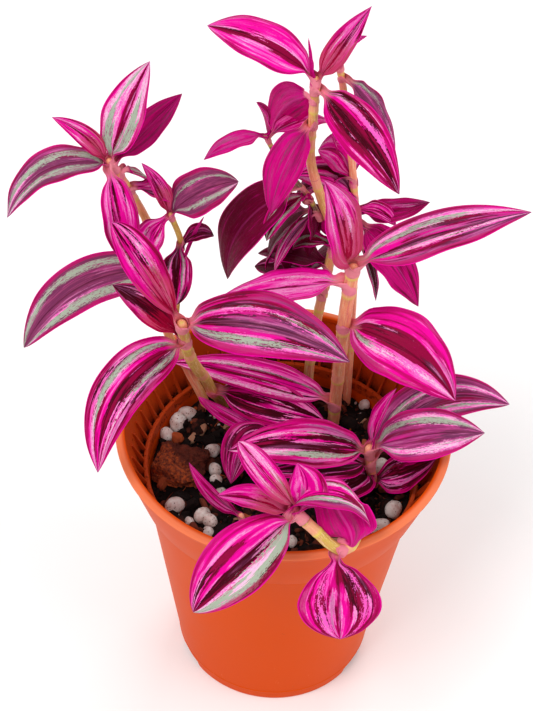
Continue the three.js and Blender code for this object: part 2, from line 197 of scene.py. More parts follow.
LEAVES = {
    "right_leaf_1": (193, (77, 18, 209), 19, 3, 0, 10, 8, (0.5, 0.6, 0.6, 0)),
    "right_leaf_2": (193, (8, -3, 236), 20, 1, 0, -80, 16, (0.3, 0.85, 0.5, 0)),
    "right_leaf_3": (182, (-24, 16, 166), 17, 1, 0, -5, 5, (0.45, 1, 0.2, 0)),
    "right_leaf_4": (158, (58, -8, 145), 29, 7, 0, 12, 5, (0.3, 0.6, 0.3, 0)),
    "right_leaf_5": (107, (-42, 28, 120), 15, 2, -1.5, -22, 5, (0.45, 0.85, 0.5, 0)),
    "middle_leaf_1": (175, (-58, -4, 216), 17, 0, 0, -45, 26, (0.35, 0.6, 0.7, 0), 0.6),
    "middle_leaf_2": (164, (-60, 8, 177), 14, 2, 0, -28, 18, (0.1, 0.3, 0.9, 0)),
    "middle_leaf_3": (160, (-62, -38, 134), 19, 12, -4, -15, 5, (0.45, 0.65, 0.5, 0)),
    "middle_leaf_4": (173, (20, -18, 172), 25, 8, 0, 20, 5, (0.45, 0.45, 0.7, 0)),
    "middle_leaf_5": (110, (15, 16, 105), 18, 1, 0, 28, 5, (0.1, 0.4, 0.8, 0), 0.45),
    "left_leaf_1": (227, (-91, -3, 215), 15, 10, 0, -10, 10, (0.65, 0.4, 0.35, 0)),
    "left_leaf_2": (229, (-77, 12, 244), 9, 2, 0, -50, 30, (0.35, 0.7, 0.4, 0)),
    "left_leaf_3": (229, (-47, 20, 261), 16, 1, 0, 25, 12, (0.6, 0.6, 0.3, 0)),
    "left_leaf_4": (226, (-38, 32, 240), 12, 0, 0, 20, 15, (0, 0.4, 0.4, 0.8)),
    "left_leaf_5": (227, (-54, 6, 191), 14, 3, -3, 18, 10, (0.1, 0.8, 0.6, 0), 0.45),
    "left_leaf_6": (168, (-91, 3, 150), 19, 12, 0, -25, 5, (0.8, 0.15, 0.15, 0)),
    "side_leaf_1": (204, (-50, 16, 224), 8, 1, 0, -50, 30, (0.3, 0.7, 0.6, 0)),
    "side_leaf_2": (204, (-19, 22, 213), 17, 3, 0, 25, 5, (0.75, 0.2, 0.05, 0)),
    "side_leaf_3": (186, (-39, 11, 166), 12, 3, 0, 0, 10, (0.5, 0.4, 0.8, 0), 0.45),
    "twig_leaf_1": (233, (-30, 14, 228), 9, 2, 0, 0, 10, (0, 0.95, 0.4, 0.6)),
    "twig_leaf_2": (233, (-14, 19, 248), 7, 1, 0, -40, 25, (0, 0.6, 0.5, 0.3)),
    "twig_leaf_3": (231, (12, 40, 223), 10, 5, 0, 0, 5, (0.3, 0.6, 0.2, 0.2)),
    "twig_leaf_4": (207, (-22, 24, 167), 20, 8, 0, -25, 5, (0, 0.1, 0.9, 1)),
    "tall_leaf_1": (258, (-30, 30, 268), 17, 3, 0, -20, 10, (0.05, 1, 0.2, 0), 0.45),
    "tall_leaf_2": (258, (19, 18, 286), 10, 0, 0, 60, 20, (0.3, 0.75, 0.5, 0)),
    "tall_leaf_3": (253, (32, 4, 226), 17, 3, 0, 20, 5, (0.1, 0.4, 0.5, 0)),
    "tall_leaf_4": (237, (-8, 8, 212), 15, 4, 0, 0, 10, (0, 0.9, 0.36, 0.85)),
    "tall_leaf_5": (248, (-9, 35, 224), 15, 3, 0, 75, 10, (0, 0.8, 0.2, 0)),
    "back_leaf_1": (250, (31, 24, 220), 15, 3, 0, 0, 10, (0.4, 0.3, 0.5, 0)),
    "back_leaf_2": (257, (19, 27, 269), 5, 1, 0, 30, 30, (0.2, 0.8, 0.3, 0)),
    "back_leaf_3": (187, (46, 38, 194), 12, -2, 0, 10, 10, (0, 0.45, 0.5, 0.4)),
    "back_leaf_4": (182, (45, 24, 158), 19, 3, 0, 0, 5, (0, 0.3, 0.4, 1)),
    "low_leaf_1": (124, (70, -8, 129), 21, 3, 0, 20, 5, (0.6, 0.5, 0.5, 0)),
    "low_leaf_2": (121, (-19, -18, 125), 21, 4, 0, -10, 5, (0.7, 0.5, 0.72, 0)),
    "low_leaf_3": (125, (37, -12, 154), 9, 1, 0, 30, 35, (0.15, 0.8, 0.5, 0)),
    "low_leaf_4": (115, (80, 8, 127), 19, 8, 8, 22, 5, (0.5, 0.4, 0.5, 0), 0.45),
    "low_leaf_5": (105, (13, -23, 107), 14, 3, 3, 0, 5, (0.2, 0.3, 0.9, 0)),
    "low_leaf_6": (98, (54, -12, 119), 16, -1, 0, 30, 5, (0.2, 0.45, 0.75, 0)),
    "rim_leaf_1": (140, (-27, -86, 124), 23, 4, 0, -20, 5, (0.95, 0.6, 0.62, 0), 0.5),
    "rim_leaf_2": (142, (-15, -52, 169), 12, 1, 2, -35, 26, (0.5, 0.9, 0.2, 0), 0.62),
    "rim_leaf_3": (142, (-21, -58, 149), 12, 2, 0, -10, 25, (0.1, 0.8, 0.4, 0), 0.45),
    "rim_leaf_4": (139.5, (29, -56, 134), 13, 10, 0, 0, 5, (0.8, 0.75, 0.4, 0), 0.5),
    "rim_leaf_5": (127, (21, -84, 110), 29, 2, 0, 0, 5, (0, 0.52, 0.45, 0), 0.58),
    "rim_leaf_6": (141, (4, -53, 161), 15, 1, -3, -20, 12, (0.4, 0.9, 0.2, 0), 0.45),
    "young_leaf_1": (102, (-18, -12, 100), 17, 8, -3, 0, 10, (0.05, 0.6, 0.6, 0.2)),
    "shoot_leaf_1": (97, (-33, -14, 113), 7, 1, 3, -50, 30, (0, 0.8, 0.4, 0.2)),
}

# Small leaves behind and between the large ones. Those given the darkest tones fill the dark middle of the plant, so
# their plum is partly their own colour and partly painted shade.
SMALL_LEAVES = {
    "side_bud_leaf": (203, (-48, 11, 188), 11, 3, 0, -35, 10, (0.5, 0.8, 0.4, 0), 0.5),
    "side_curl_leaf": (172, (-30, 20, 199), 3, 1, 2, 0, 30, (0.6, 1, 0, 0)),
    "side_hidden_leaf": (184, (-27, 27, 184), 8, 3, 0, 20, 20, (0.2, 0.3, 1, 0.4)),
    "left_hidden_leaf_1": (221, (-47, 22, 210), 9, 1, 0, 0, 10, (1, 0.2, 0.3, 0)),
    "left_hidden_leaf_2": (213, (-39, 20, 203), 9, 3, 0, 20, 10, (0.1, 0.7, 0.7, 0)),
    "back_hidden_leaf_1": (197, (-1, 37, 204), 16, 4, 0, -25, 10, (0.1, 0.6, 0.7, 0)),
    "back_hidden_leaf_2": (204, (7, 45, 209), 14, 6, 0, -30, 10, (0.5, 0.8, 0.1, 0.2), 0.45),
    "back_hidden_leaf_5": (204, (11, 45, 216), 5, 1, 0, -30, 30, (0.4, 0.9, 0, 0.4)),
    "back_hidden_leaf_3": (188, (35, 34, 186), 9, 3, 0, 10, 20, (0.1, 0.7, 0.6, 0)),
    "back_hidden_leaf_4": (172, (31, 36, 148), 8, 1, 0, 0, 20, (0.5, 0.3, 0.9, 0)),
    "tall_bud_leaf": (257, (1, 19, 273), 3, 0, 0, -30, 30, (0, 0.9, 0.1, 0.3), 0.3),
    "tall_hidden_leaf_1": (178, (0, 34, 173), 9, 3, 0, -15, 20, (0.9, 0.3, 0.3, 0)),
    "tall_hidden_leaf_3": (174, (19, 37, 161), 9, 2, 0, 0, 20, (0.9, 0.6, 0.2, 0)),
    "tall_hidden_leaf_4": (184, (25, 36, 182), 9, 2, 0, 0, 20, (0.2, 0.4, 0.8, 0.4)),
    "tall_hidden_leaf_2": (178, (14, 33, 195), 10, 0, 0, 0, 20, (0.9, 0.3, 0.2, 0)),
    "twig_hidden_leaf_1": (203, (-9, 18, 191), 10, 4, 0, -10, 25, (0.9, 0.3, 0.4, 0)),
    "twig_hidden_leaf_2": (194, (-6, 21, 174), 7, 2, 0, 0, 25, (0.8, 0.6, 0.3, 0)),
    "twig_hidden_leaf_4": (201, (6, 29, 182), 10, 1, 0, 20, 15, (0, 0.3, 0.9, 0.7)),
    "twig_hidden_leaf_5": (195, (-9, 37, 160), 14, 3, 0, -20, 15, (0, 0.2, 1, 0.6)),
    "twig_hidden_leaf_6": (192, (-1, 39, 157), 14, 3, 0, 10, 15, (0.1, 0.3, 1, 0.3)),
    "tall_hidden_leaf_5": (166, (-12, 40, 165), 18, 2, 0, 10, 12, (0, 0.1, 1, 0.9)),
    "tall_hidden_leaf_6": (152, (-8, 42, 152), 19, 3, 0, -10, 12, (0, 0.2, 1, 0.5)),
    "back_hidden_leaf_6": (170, (2, 43, 147), 20, 2, 0, 10, 12, (0.1, 0.1, 1, 0.8)),
    "back_hidden_leaf_7": (178, (6, 44, 180), 19, 2, 0, -15, 12, (0.1, 0.2, 1, 0.6)),
    "twig_bud_leaf": (203, (2, 25, 203), 4, 0, 0, 20, 30, (0.1, 0.7, 0.4, 0.2)),
    "young_hidden_leaf": (99, (-32, 26, 104), 10, 3, 5, 10, 20, (0.1, 0.95, 0.1, 0.2), 0.45),
    "low_hidden_leaf": (112, (-8, -22, 119), 16, 3, 2, 0, 5, (0.3, 0.4, 0.9, 0)),
    "rim_back_leaf": (127, (9.5, -50.5, 151.5), 19.5, 0, 0, 0, 5, (0, 0.9, 0.2, 0), 0.28),
    "twig_hidden_leaf_3": (193, (6, 34, 170), 9, 2, 0, 0, 15, (0, 0.2, 1, 0.6)),
    "back_hidden_leaf_8": (204, (0, 42, 190), 15, 2, 0, -10, 15, (0.1, 0.3, 0.9, 0.2), 0.45),
    "tall_hidden_leaf_7": (156, (-13, 43, 156), 18, 2, 0, 0, 12, (0, 0.2, 0.9, 0.3), 0.45),
}

ALL_LEAVES = {name: Leaf(*row) for name, row in {**LEAVES, **SMALL_LEAVES}.items()}

# Silver bands of the plainest-seen blades, seen from their foot: middle and width of the left one and of the right one,
# as shares of the half blade, how much brighter the margins are than the middle, and how dusky the blade is
BANDS = {
    "right_leaf_1": (0.55, 0.42, 0.28, 0.18, 0.3, 0.45), "right_leaf_3": (0.6, 0.3, 0.4, 0.25, 0.1, 0.1),
    "right_leaf_4": (0.5, 0.02, 0.42, 0.34, 0.5, 0.3), "right_leaf_5": (0.7, 0.36, 0.35, 0.2, 0.4, 0.1),
    "right_leaf_2": (0.5, 0.3, 0.45, 0.25, 0.3, 0.1), "middle_leaf_1": (0.45, 0.12, 0.4, 0.25, 0.3, 0.1),
    "middle_leaf_3": (0.5, 0.32, 0.5, 0.24, 0.35, 0.25), "middle_leaf_4": (0.36, 0.16, 0.55, 0.36, 0.4, 0.5),
    "middle_leaf_5": (0.6, 0.04, 0.6, 0.02, 0, 0.1), "left_leaf_1": (0.5, 0.5, 0.4, 0.3, 0.2, 0.6),
    "left_leaf_3": (0.5, 0.65, 0.55, 0.7, 0.2, 0.1), "left_leaf_4": (0.5, 0.02, 0.5, 0, 0.1, 0.5),
    "left_leaf_5": (0.4, 0.12, 0.45, 0.15, 0.3, 0.1), "left_leaf_6": (0.6, 0.3, 0.55, 0.32, 0, 0.85),
    "side_leaf_2": (0.5, 0.3, 0.5, 0.32, 0.1, 0.9), "tall_leaf_1": (0.5, 0, 0.5, 0.04, 1.3, 0.1),
    "tall_leaf_2": (0.5, 0.2, 0.4, 0.15, 0.2, 0.1), "tall_leaf_3": (0.45, 0.08, 0.4, 0, 0.3, 0.15),
    "back_leaf_1": (0.55, 0.3, 0.6, 0.2, -0.2, 0.7), "low_leaf_1": (0.55, 0.4, 0.6, 0.36, 0.1, 0.65),
    "low_leaf_2": (0.5, 0.24, 0.4, 0.16, 0.3, 0.3), "low_leaf_4": (0.4, 0.3, 0.55, 0.4, 0, 0.6),
    "rim_leaf_1": (0.6, 0.7, 0.5, 0.02, 0.3, 0.2), "rim_leaf_2": (0.5, 0.4, 0.5, 0.4, 0.3, 0.1),
    "rim_leaf_4": (0.5, 0.4, 0.45, 0.45, 0.4, 0.4), "rim_leaf_5": (0.58, 0.17, 0.48, 0.2, -0.3, 0.25),
}

# Least and greatest middles and widths that are drawn for the other blades. The widths are then multiplied by how
# silver the blade is.
DRAWN_BANDS = ((0.35, 0.1, 0.35, 0.1), (0.65, 0.5, 0.65, 0.5))
USUAL_EDGE_AND_DUSK = (0.2, 0.3)

# Blades still reddish towards the foot
YOUNG = (
    "rim_leaf_2", "rim_leaf_3", "middle_leaf_1", "middle_leaf_2", "right_leaf_2", "left_leaf_2", "tall_leaf_2",
    "back_leaf_2", "side_leaf_1",
)

# How drawn in the outline of a blade is: usually, and where it differs
USUAL_POINTEDNESS = 1.55
POINTEDNESS = {
    "rim_leaf_5": 1.85, "rim_leaf_1": 1.5, "rim_back_leaf": 0.9, "left_leaf_6": 1.35, "side_leaf_2": 1.3,
    "tall_leaf_2": 1.7,
}

# Blades that twist: rows of points along the midrib with the side direction at each
COURSES = {
    "rim_leaf_4": (
        (5, -57.3, 138, -0.3, -0.9, -0.3), (3.9, -57.5, 142.8, -0.4, -0.9, -0.2), (6.4, -57, 148.2, -0.3, -1, -0.1),
        (11.6, -56.6, 151.0, 0, -1, -0.1), (19, -56.2, 149.4, 0.2, -1, -0.1), (25.2, -56, 143.2, 0.3, -1, 0),
        (29, -56, 134, 0.3, -1, 0.1),
    ),
    "rim_back_leaf": (
        (20, -58.4, 124.8, -1, 0.1, 0.3), (23.3, -59.2, 127.8, -1, 0.15, 0.25), (22.8, -57.2, 132.5, -1, 0.2, 0.3),
        (19.6, -54.3, 137.3, -1, 0.25, 0.4), (16.5, -52.8, 142.8, -1, 0.25, 0.45), (13, -51.5, 147.5, -1, 0.25, 0.4),
        (9.5, -50.5, 151.5, -1, 0.2, 0.4),
    ),
}

# Lumps strewn on the mix: least and greatest half size, proportions, roughness, rows and lanes of each, seed, power of
# the coordinates, least and greatest tone, finish, and how far from the edge of the mix they end
STREWN = {
    "soil_crumbs": ((0.4, 1.3), (1, 0.9, 0.8), 0.22, (5, 7), 11, 1.0, (0, 0.8), "mix", 1.5),
    "soil_clods": ((1.2, 3.4), (1, 0.75, 0.6), 0.22, (8, 11), 14, 0.7, (0, 0.45), "mix", 1.5),
    "bark_chips": ((1.4, 4.6), (1, 0.45, 0.28), 0.14, (7, 9), 12, 0.6, (0.25, 1), "mix", 1.5),
    "grit_crumbs": ((0.25, 0.8), (1, 0.9, 0.8), 0.12, (6, 8), 17, 1.0, (0, 1), "grit", 1),
}
GRIT_CRUMB_COUNT = 120
ROOT_COUNT = 90
GUTTER_CRUMB_COUNT = 260

# Camera: place, tilt from straight down, turn about its own axis, and lens for a 36 mm long side
CAMERA_PLACE = (-7.3, -411.7, 581.0)
CAMERA_TILT = 44.0
CAMERA_TURN = 2.6
CAMERA_LENS = 87.8

# Soft lights: place and size in metres, and share of the key light's power. They face one point in the plant.
LIGHTS = {
    "key_light": ((-0.7, -0.8, 1.7), 0.8, 1.0),
    "fill_light": ((1.3, -0.5, 1.1), 1.2, 0.45),
    "back_light": ((0.4, 1.2, 1.4), 0.8, 0.4),
}
LIGHT_TARGET = (0, 0, 0.15)


# ---- shapes ----


def ripple(places, wavelength, seed, waves=9):
    """Smooth random field: twice the mean of `waves` sine waves in random directions, each about `wavelength` long."""
    rng = np.random.default_rng(seed)
    ways = rng.normal(size=(waves, 3))
    ways *= (2 * np.pi / wavelength) * rng.uniform(0.7, 1.4, (waves, 1)) / np.linalg.norm(ways, axis=1, keepdims=True)
    return np.sin(places @ ways.T + rng.uniform(0, 2 * np.pi, waves)).mean(-1) * 2


def unit(vectors):
    """Each vector divided by its length."""
    return vectors / np.maximum(np.linalg.norm(vectors, axis=-1, keepdims=True), 1e-9)


def ring_faces(rows, lanes):
    """Quads between rows of a grid whose lanes close into rings, and one many-sided face over each end."""
    here = np.arange(rows * lanes).reshape(rows, lanes)
    right = np.roll(here, -1, axis=1)
    quads = np.stack([here[:-1], right[:-1], right[1:], here[1:]], -1).reshape(-1, 4)
    return quads, here[0][::-1], here[-1]


def ring_volume(rings):
    """Signed volume inside closed rings: the sum of a . (b x c) / 6 over the triangles of their quads."""
    a, b = rings[:-1], np.roll(rings, -1, axis=1)[:-1]
    c, d = np.roll(rings, -1, axis=1)[1:], rings[1:]
    return float((a * np.cross(b, c)).sum() + (a * np.cross(c, d)).sum()) / 6


def linked(name, data):
    """A new object of the scene."""
    made = bpy.data.objects.new(name, data)
    bpy.context.scene.collection.objects.link(made)
    return made


def ring_mesh(name, shapes, finish, fields=None, uv=None, crease=None, stands_for=None):
    """A piece from one shape or a stack of them, each rows x lanes of points in millimetres, closed as ring_faces says.

    fields holds one, three or four numbers for each point or for all points of a shape. crease is the angle past which
    an edge stays sharp. stands_for is the CAD node that the piece replaces.
    """
    shapes = np.reshape(shapes, (-1, *np.shape(shapes)[-3:]))
    count, rows, lanes = grid = shapes.shape[:3]
    fields = {key: np.broadcast_to(value, (*grid, np.shape(value)[-1])) for key, value in (fields or {}).items()}
    uv = None if uv is None else np.reshape(uv, (*grid, 2))
    if ring_volume(shapes[0]) < 0:
        shapes = shapes[:, :, ::-1]
        fields = {key: value[:, :, ::-1] for key, value in fields.items()}
        uv = None if uv is None else uv[:, :, ::-1]
    quads, low_cap, high_cap = ring_faces(rows, lanes)
    offsets = (np.arange(count) * rows * lanes)[:, None]
    corners = (np.concatenate([quads.ravel(), low_cap, high_cap]) + offsets).ravel()
    sizes = np.tile(np.concatenate([np.full(len(quads), 4), [lanes, lanes]]), count)
    mesh = bpy.data.meshes.new(name)
    mesh.vertices.add(count * rows * lanes)
    mesh.vertices.foreach_set("co", (shapes * MM).reshape(-1).astype(np.float32))
    mesh.loops.add(len(corners))
    mesh.loops.foreach_set("vertex_index", corners.astype(np.int32))
    mesh.polygons.add(len(sizes))
    mesh.polygons.foreach_set("loop_start", np.concatenate([[0], np.cumsum(sizes)[:-1]]).astype(np.int32))
    mesh.polygons.foreach_set("use_smooth", np.ones(len(sizes), bool))
    mesh.update(calc_edges=True)
    if crease is not None:
        mesh.set_sharp_from_angle(angle=math.radians(crease))
    if uv is not None:
        layer = mesh.uv_layers.new(name="surface")
        layer.uv.foreach_set("vector", uv.reshape(-1, 2)[corners].ravel().astype(np.float32))
    kinds = {1: ("FLOAT", "value"), 3: ("FLOAT_VECTOR", "vector"), 4: ("FLOAT_COLOR", "color")}
    for key, value in fields.items():
        kind, part = kinds[value.shape[3]]
        mesh.attributes.new(key, kind, "POINT").data.foreach_set(part, value.reshape(-1).astype(np.float32))
    mesh.materials.append(material(finish))
    piece = linked(name, mesh)
    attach(piece, BODY)
    if stands_for:
        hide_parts(stands_for)


def stacked(*parts):
    """Parts spread over one grid and stacked along a new last axis."""
    return np.stack(np.broadcast_arrays(*parts), -1)


def rounded(profile, radius, steps=4):
    """The profile with each corner replaced by a curve, (1-t)^2 a + 2t(1-t) corner + t^2 b, where a and b are
    radius away from it."""
    points = [np.array(p, float) for p in profile]
    out = [points[0]]
    for before, corner, after in zip(points, points[1:], points[2:]):
        a = corner + (before - corner) * min(0.45, radius / max(np.linalg.norm(before - corner), 1e-6))
        b = corner + (after - corner) * min(0.45, radius / max(np.linalg.norm(after - corner), 1e-6))
        for t in np.linspace(0, 1, steps):
            out.append((1 - t) ** 2 * a + 2 * t * (1 - t) * corner + t**2 * b)
    return np.array(out + [points[-1]])


def collar_radius(z):
    return RIM_RADIUS - (RIM_RADIUS - COLLAR_FOOT_RADIUS) * (POT_HEIGHT - z) / COLLAR_DEPTH


def body_radius(z):
    return BODY_FOOT_RADIUS + (BODY_TOP_RADIUS - BODY_FOOT_RADIUS) * z / (POT_HEIGHT - COLLAR_DEPTH)


def pot_rings(lanes):
    """The pot's wall turned about Z: each profile point (r, z) becomes (r cos a, r sin a, z), and z rises to the height
    of a drain notch where a is inside one, less in the last 0.6 mm towards its sides."""
    collar_foot = POT_HEIGHT - COLLAR_DEPTH
    lip_inner = RIM_RADIUS - LIP_WIDTH
    under_lip = POT_HEIGHT - LIP_DEPTH
    floor_top = FLOOR_RISE + FLOOR_THICKNESS
    outside = [
        (8, FLOOR_RISE - 2), (DISC_RADIUS, 0), (DISC_RADIUS + 1, FLOOR_RISE), (FOOT_INNER_RADIUS - 0.5, FLOOR_RISE),
        (FOOT_INNER_RADIUS, 0), (BODY_FOOT_RADIUS - 0.5, 0), (BODY_FOOT_RADIUS, 0.6), (body_radius(5.2), 5.2),
        (body_radius(5.6) + 0.25, 5.6), (body_radius(6.2), 6.2), (body_radius(50), 50),
        (BODY_TOP_RADIUS, collar_foot), (COLLAR_FOOT_RADIUS, collar_foot), (collar_radius(108), 108),
        (collar_radius(under_lip - 1), under_lip - 1), (RIM_RADIUS, POT_HEIGHT - 1.6), (RIM_RADIUS, POT_HEIGHT - 0.5),
        (RIM_RADIUS - 0.6, POT_HEIGHT), (lip_inner, POT_HEIGHT), (lip_inner, under_lip),
        (collar_radius(under_lip) - COLLAR_WALL, under_lip - 0.7),
        (collar_radius(GUTTER_FLOOR) - COLLAR_WALL, GUTTER_FLOOR), (RING_RADIUS, GUTTER_FLOOR - 0.2),
        (RING_RADIUS, RING_TOP), (RING_RADIUS - BODY_WALL, RING_TOP),
        (body_radius(collar_foot) - BODY_WALL, collar_foot), (body_radius(50) - BODY_WALL, 50),
        (body_radius(floor_top) - BODY_WALL, floor_top), (8, floor_top),
    ]
    profile = rounded(outside, 0.45)
    angle = np.linspace(0, 2 * np.pi, lanes, endpoint=False)
    r, z = profile.T[..., None]
    for heading in np.radians(NOTCH_HEADINGS):
        across = np.abs((angle - heading + np.pi) % (2 * np.pi) - np.pi) * BODY_FOOT_RADIUS
        inside = np.clip((NOTCH_WIDTH / 2 - across) / 0.6, 0, 1)
        foot = (r > FOOT_INNER_RADIUS - 1) & (z < NOTCH_HEIGHT)
        z = np.where(foot, np.maximum(z, NOTCH_HEIGHT * inside), z)
    return stacked(r * np.cos(angle), r * np.sin(angle), z)


def fin_rings():
    """The braces of the collar: one five-sided plate, (r, z) by thickness, turned to FIN_COUNT even headings."""
    plate = np.array([
        (RING_RADIUS - 0.8, GUTTER_FLOOR - 0.4), (collar_radius(GUTTER_FLOOR) - 0.9, GUTTER_FLOOR - 0.4),
        (collar_radius(FIN_TOP) - 0.9, FIN_TOP), (collar_radius(FIN_TOP) - COLLAR_WALL - 0.6, FIN_TOP),
        (RING_RADIUS - 0.8, RING_TOP - 0.4),
    ])
    side = np.array([-0.5, 0.5])[:, None] * FIN_THICKNESS
    angle = ((np.arange(FIN_COUNT) + 0.5) / FIN_COUNT * 2 * np.pi)[:, None, None]
    x = plate[:, 0] * np.cos(angle) - side * np.sin(angle)
    y = plate[:, 0] * np.sin(angle) + side * np.cos(angle)
    return stacked(x, y, plate[:, 1])


def soil_height(x, y):
    """Top of the mix: its level plus ripples 17, 6 and 2 mm long, flatter under the bark slab."""
    places = stacked(x, y, 0)
    bumps = 0.8 * ripple(places, 17, 1) + 0.5 * ripple(places, 6, 2) + 0.22 * ripple(places, 2, 3)
    clear = np.clip((np.hypot(x - BARK_CENTRE[0], y - BARK_CENTRE[1]) - 8) / 6, 0.15, 1)
    return SOIL_LEVEL + bumps * clear


def on_mix(x, y, lift):
    """Places on top of the mix, raised by lift."""
    return stacked(x, y, soil_height(x, y) + lift)


def soil_rings(rows, lanes):
    """The mix as rings of radius R t from the middle out, at soil_height, then down a short skirt and back under."""
    share = np.concatenate([np.linspace(0.005, 1, rows), [1, 0.01]])[:, None]
    angle = np.linspace(0, 2 * np.pi, lanes, endpoint=False)
    x, y = SOIL_RADIUS * share * np.cos(angle), SOIL_RADIUS * share * np.sin(angle)
    z = soil_height(x, y)
    z[-2:] = SOIL_LEVEL - SOIL_DEPTH
    return stacked(x, y, z)


def ball_rings(rows, lanes):
    """A unit ball as rings: (sin b cos a, sin b sin a, cos b), b from near 0 to near pi."""
    b = np.linspace(0.12, np.pi - 0.12, rows)[:, None]
    a = np.linspace(0, 2 * np.pi, lanes, endpoint=False)
    return stacked(np.sin(b) * np.cos(a), np.sin(b) * np.sin(a), np.cos(b))


def turned(count, rng, tilt):
    """One random turn matrix for each lump, from quaternions whose tilt away from upright is scaled by tilt."""
    w, x, y, z = unit(rng.normal(size=(count, 4)) * (1, tilt, tilt, 1)).T
    return np.stack([
        stacked(1 - 2 * (y * y + z * z), 2 * (x * y - w * z), 2 * (x * z + w * y)),
        stacked(2 * (x * y + w * z), 1 - 2 * (x * x + z * z), 2 * (y * z - w * x)),
        stacked(2 * (x * z - w * y), 2 * (y * z + w * x), 1 - 2 * (x * x + y * y)),
    ], -2)


def crumb_rings(centres, sizes, roughness, rows, lanes, seed, power=1.0, tilt=0.5):
    """Broken lumps: each is the unit ball with its coordinates raised to a power, below 1 for flat faces, times
    1 + roughness x four sine waves of its own, stretched to its half sizes, turned at random and moved to its
    centre."""
    rng = np.random.default_rng(seed)
    count = len(centres)
    ball = ball_rings(rows, lanes)
    ways = rng.normal(size=(count, 4, 3)) * 2.0 * np.array([1, 1, 2.2, 2.2])[:, None]
    waves = np.sin(np.einsum("rlc,nwc->nrlw", ball, ways) + rng.uniform(0, 6.3, (count, 1, 1, 4)))
    waves = waves @ (0.6, 0.5, 0.3, 0.3)
    ball = np.sign(ball) * np.abs(ball) ** power
    lump = ball * (1 + roughness * waves[..., None]) * sizes[:, None, None, :]
    return np.einsum("nij,nrlj->nrli", turned(count, rng, tilt), lump) + centres[:, None, None, :]


def fibre_rings(count, seed, reach, lanes=6, rows=9):
    """Thin roots and splinters: tubes round parabolas y = c x^2 that lie on the mix, 4 to 12 mm long."""
    rng = np.random.default_rng(seed)
    t = np.linspace(-1, 1, rows)
    distance = reach * np.sqrt(rng.uniform(0, 1, count))
    place = rng.uniform(0, 2 * np.pi, count)
    x, y = (distance * np.cos(place))[:, None], (distance * np.sin(place))[:, None]
    heading = rng.uniform(0, 2 * np.pi, (count, 1))
    half, curve = rng.uniform(2, 6, (count, 1)), rng.uniform(-0.5, 0.5, (count, 1))
    s = t * half
    px = x + s * np.cos(heading) - curve * s**2 / half * np.sin(heading)
    py = y + s * np.sin(heading) + curve * s**2 / half * np.cos(heading)
    inside = np.minimum(1, reach / np.maximum(np.hypot(px, py), 1))
    px, py = px * inside, py * inside
    middle = stacked(px, py, soil_height(px, py) + 0.5 + rng.uniform(-0.4, 1.0, (count, 1)) * (1 - t**2))
    way = unit(np.gradient(middle, axis=1))
    side = unit(np.cross(way, (0.0, 0.0, 1.0)))
    up = np.cross(side, way)
    a = np.linspace(0, 2 * np.pi, lanes, endpoint=False)[:, None]
    radius = (rng.uniform(0.13, 0.34, (count, 1)) * (1 - 0.6 * t**2))[..., None, None]
    return middle[:, :, None] + radius * (side[:, :, None] * np.cos(a) + up[:, :, None] * np.sin(a))


def read_off(distance, marks, rows):
    """The rows given at the marks, read off in between at other distances."""
    return stacked(*(np.interp(distance, marks, column) for column in rows.T))


def smooth_path(points, count):
    """Points evenly spaced along a smooth curve through the given ones: a cubic in each gap, whose end slopes weigh the
    neighbouring gaps by the square root of their length. Gives their distance along it too."""
    p = np.array(points, float)
    p = np.vstack([2 * p[0] - p[1], p, 2 * p[-1] - p[-2]])
    gap = np.sqrt(np.linalg.norm(np.diff(p, axis=0), axis=1))[:, None]
    a, b, c, d = p[:-3], p[1:-2], p[2:-1], p[3:]
    g0, g1, g2 = gap[:-2], gap[1:-1], gap[2:]
    m0 = ((b - a) / g0 - (c - a) / (g0 + g1) + (c - b) / g1) * g1
    m1 = ((c - b) / g1 - (d - b) / (g1 + g2) + (d - c) / g2) * g1
    t = np.linspace(0, 1, 40, endpoint=False)[:, None, None]
    curve = (2 * t**3 - 3 * t**2 + 1) * b + (t**3 - 2 * t**2 + t) * m0 + (3 * t**2 - 2 * t**3) * c + (t**3 - t**2) * m1
    curve = np.vstack([curve.transpose(1, 0, 2).reshape(-1, 3), p[-2]])
    run = np.concatenate([[0], np.cumsum(np.linalg.norm(np.diff(curve, axis=0), axis=1))])
    even = np.linspace(0, run[-1], count)
    return read_off(even, run, curve), even


def carried_frame(path):
    """Directions along, across and up at each point of a path, with across at right angles to one near +Y."""
    along = unit(np.gradient(path, axis=0))
    across = unit(np.cross(along, (0.05, 1.0, 0.02)))
    return along, across, np.cross(across, along)


def joint_of(stem, height):
    """Where a stem first reaches a height, or its tip if it doesn't: place, direction, run along it and radius."""
    radii, points, _, _ = STEMS[stem]
    path, run = smooth_path(points, 400)
    at = int(np.argmax(path[:, 2] >= height - 0.01)) if path[-1, 2] > height else len(path) - 1
    return path[at], unit(np.gradient(path, axis=0))[at], run[at], np.interp(run[at], (0, run[-1]), radii)


def stem_of(leaf_name):
    """The stem that a leaf is named for."""
    return leaf_name.split("_")[0]


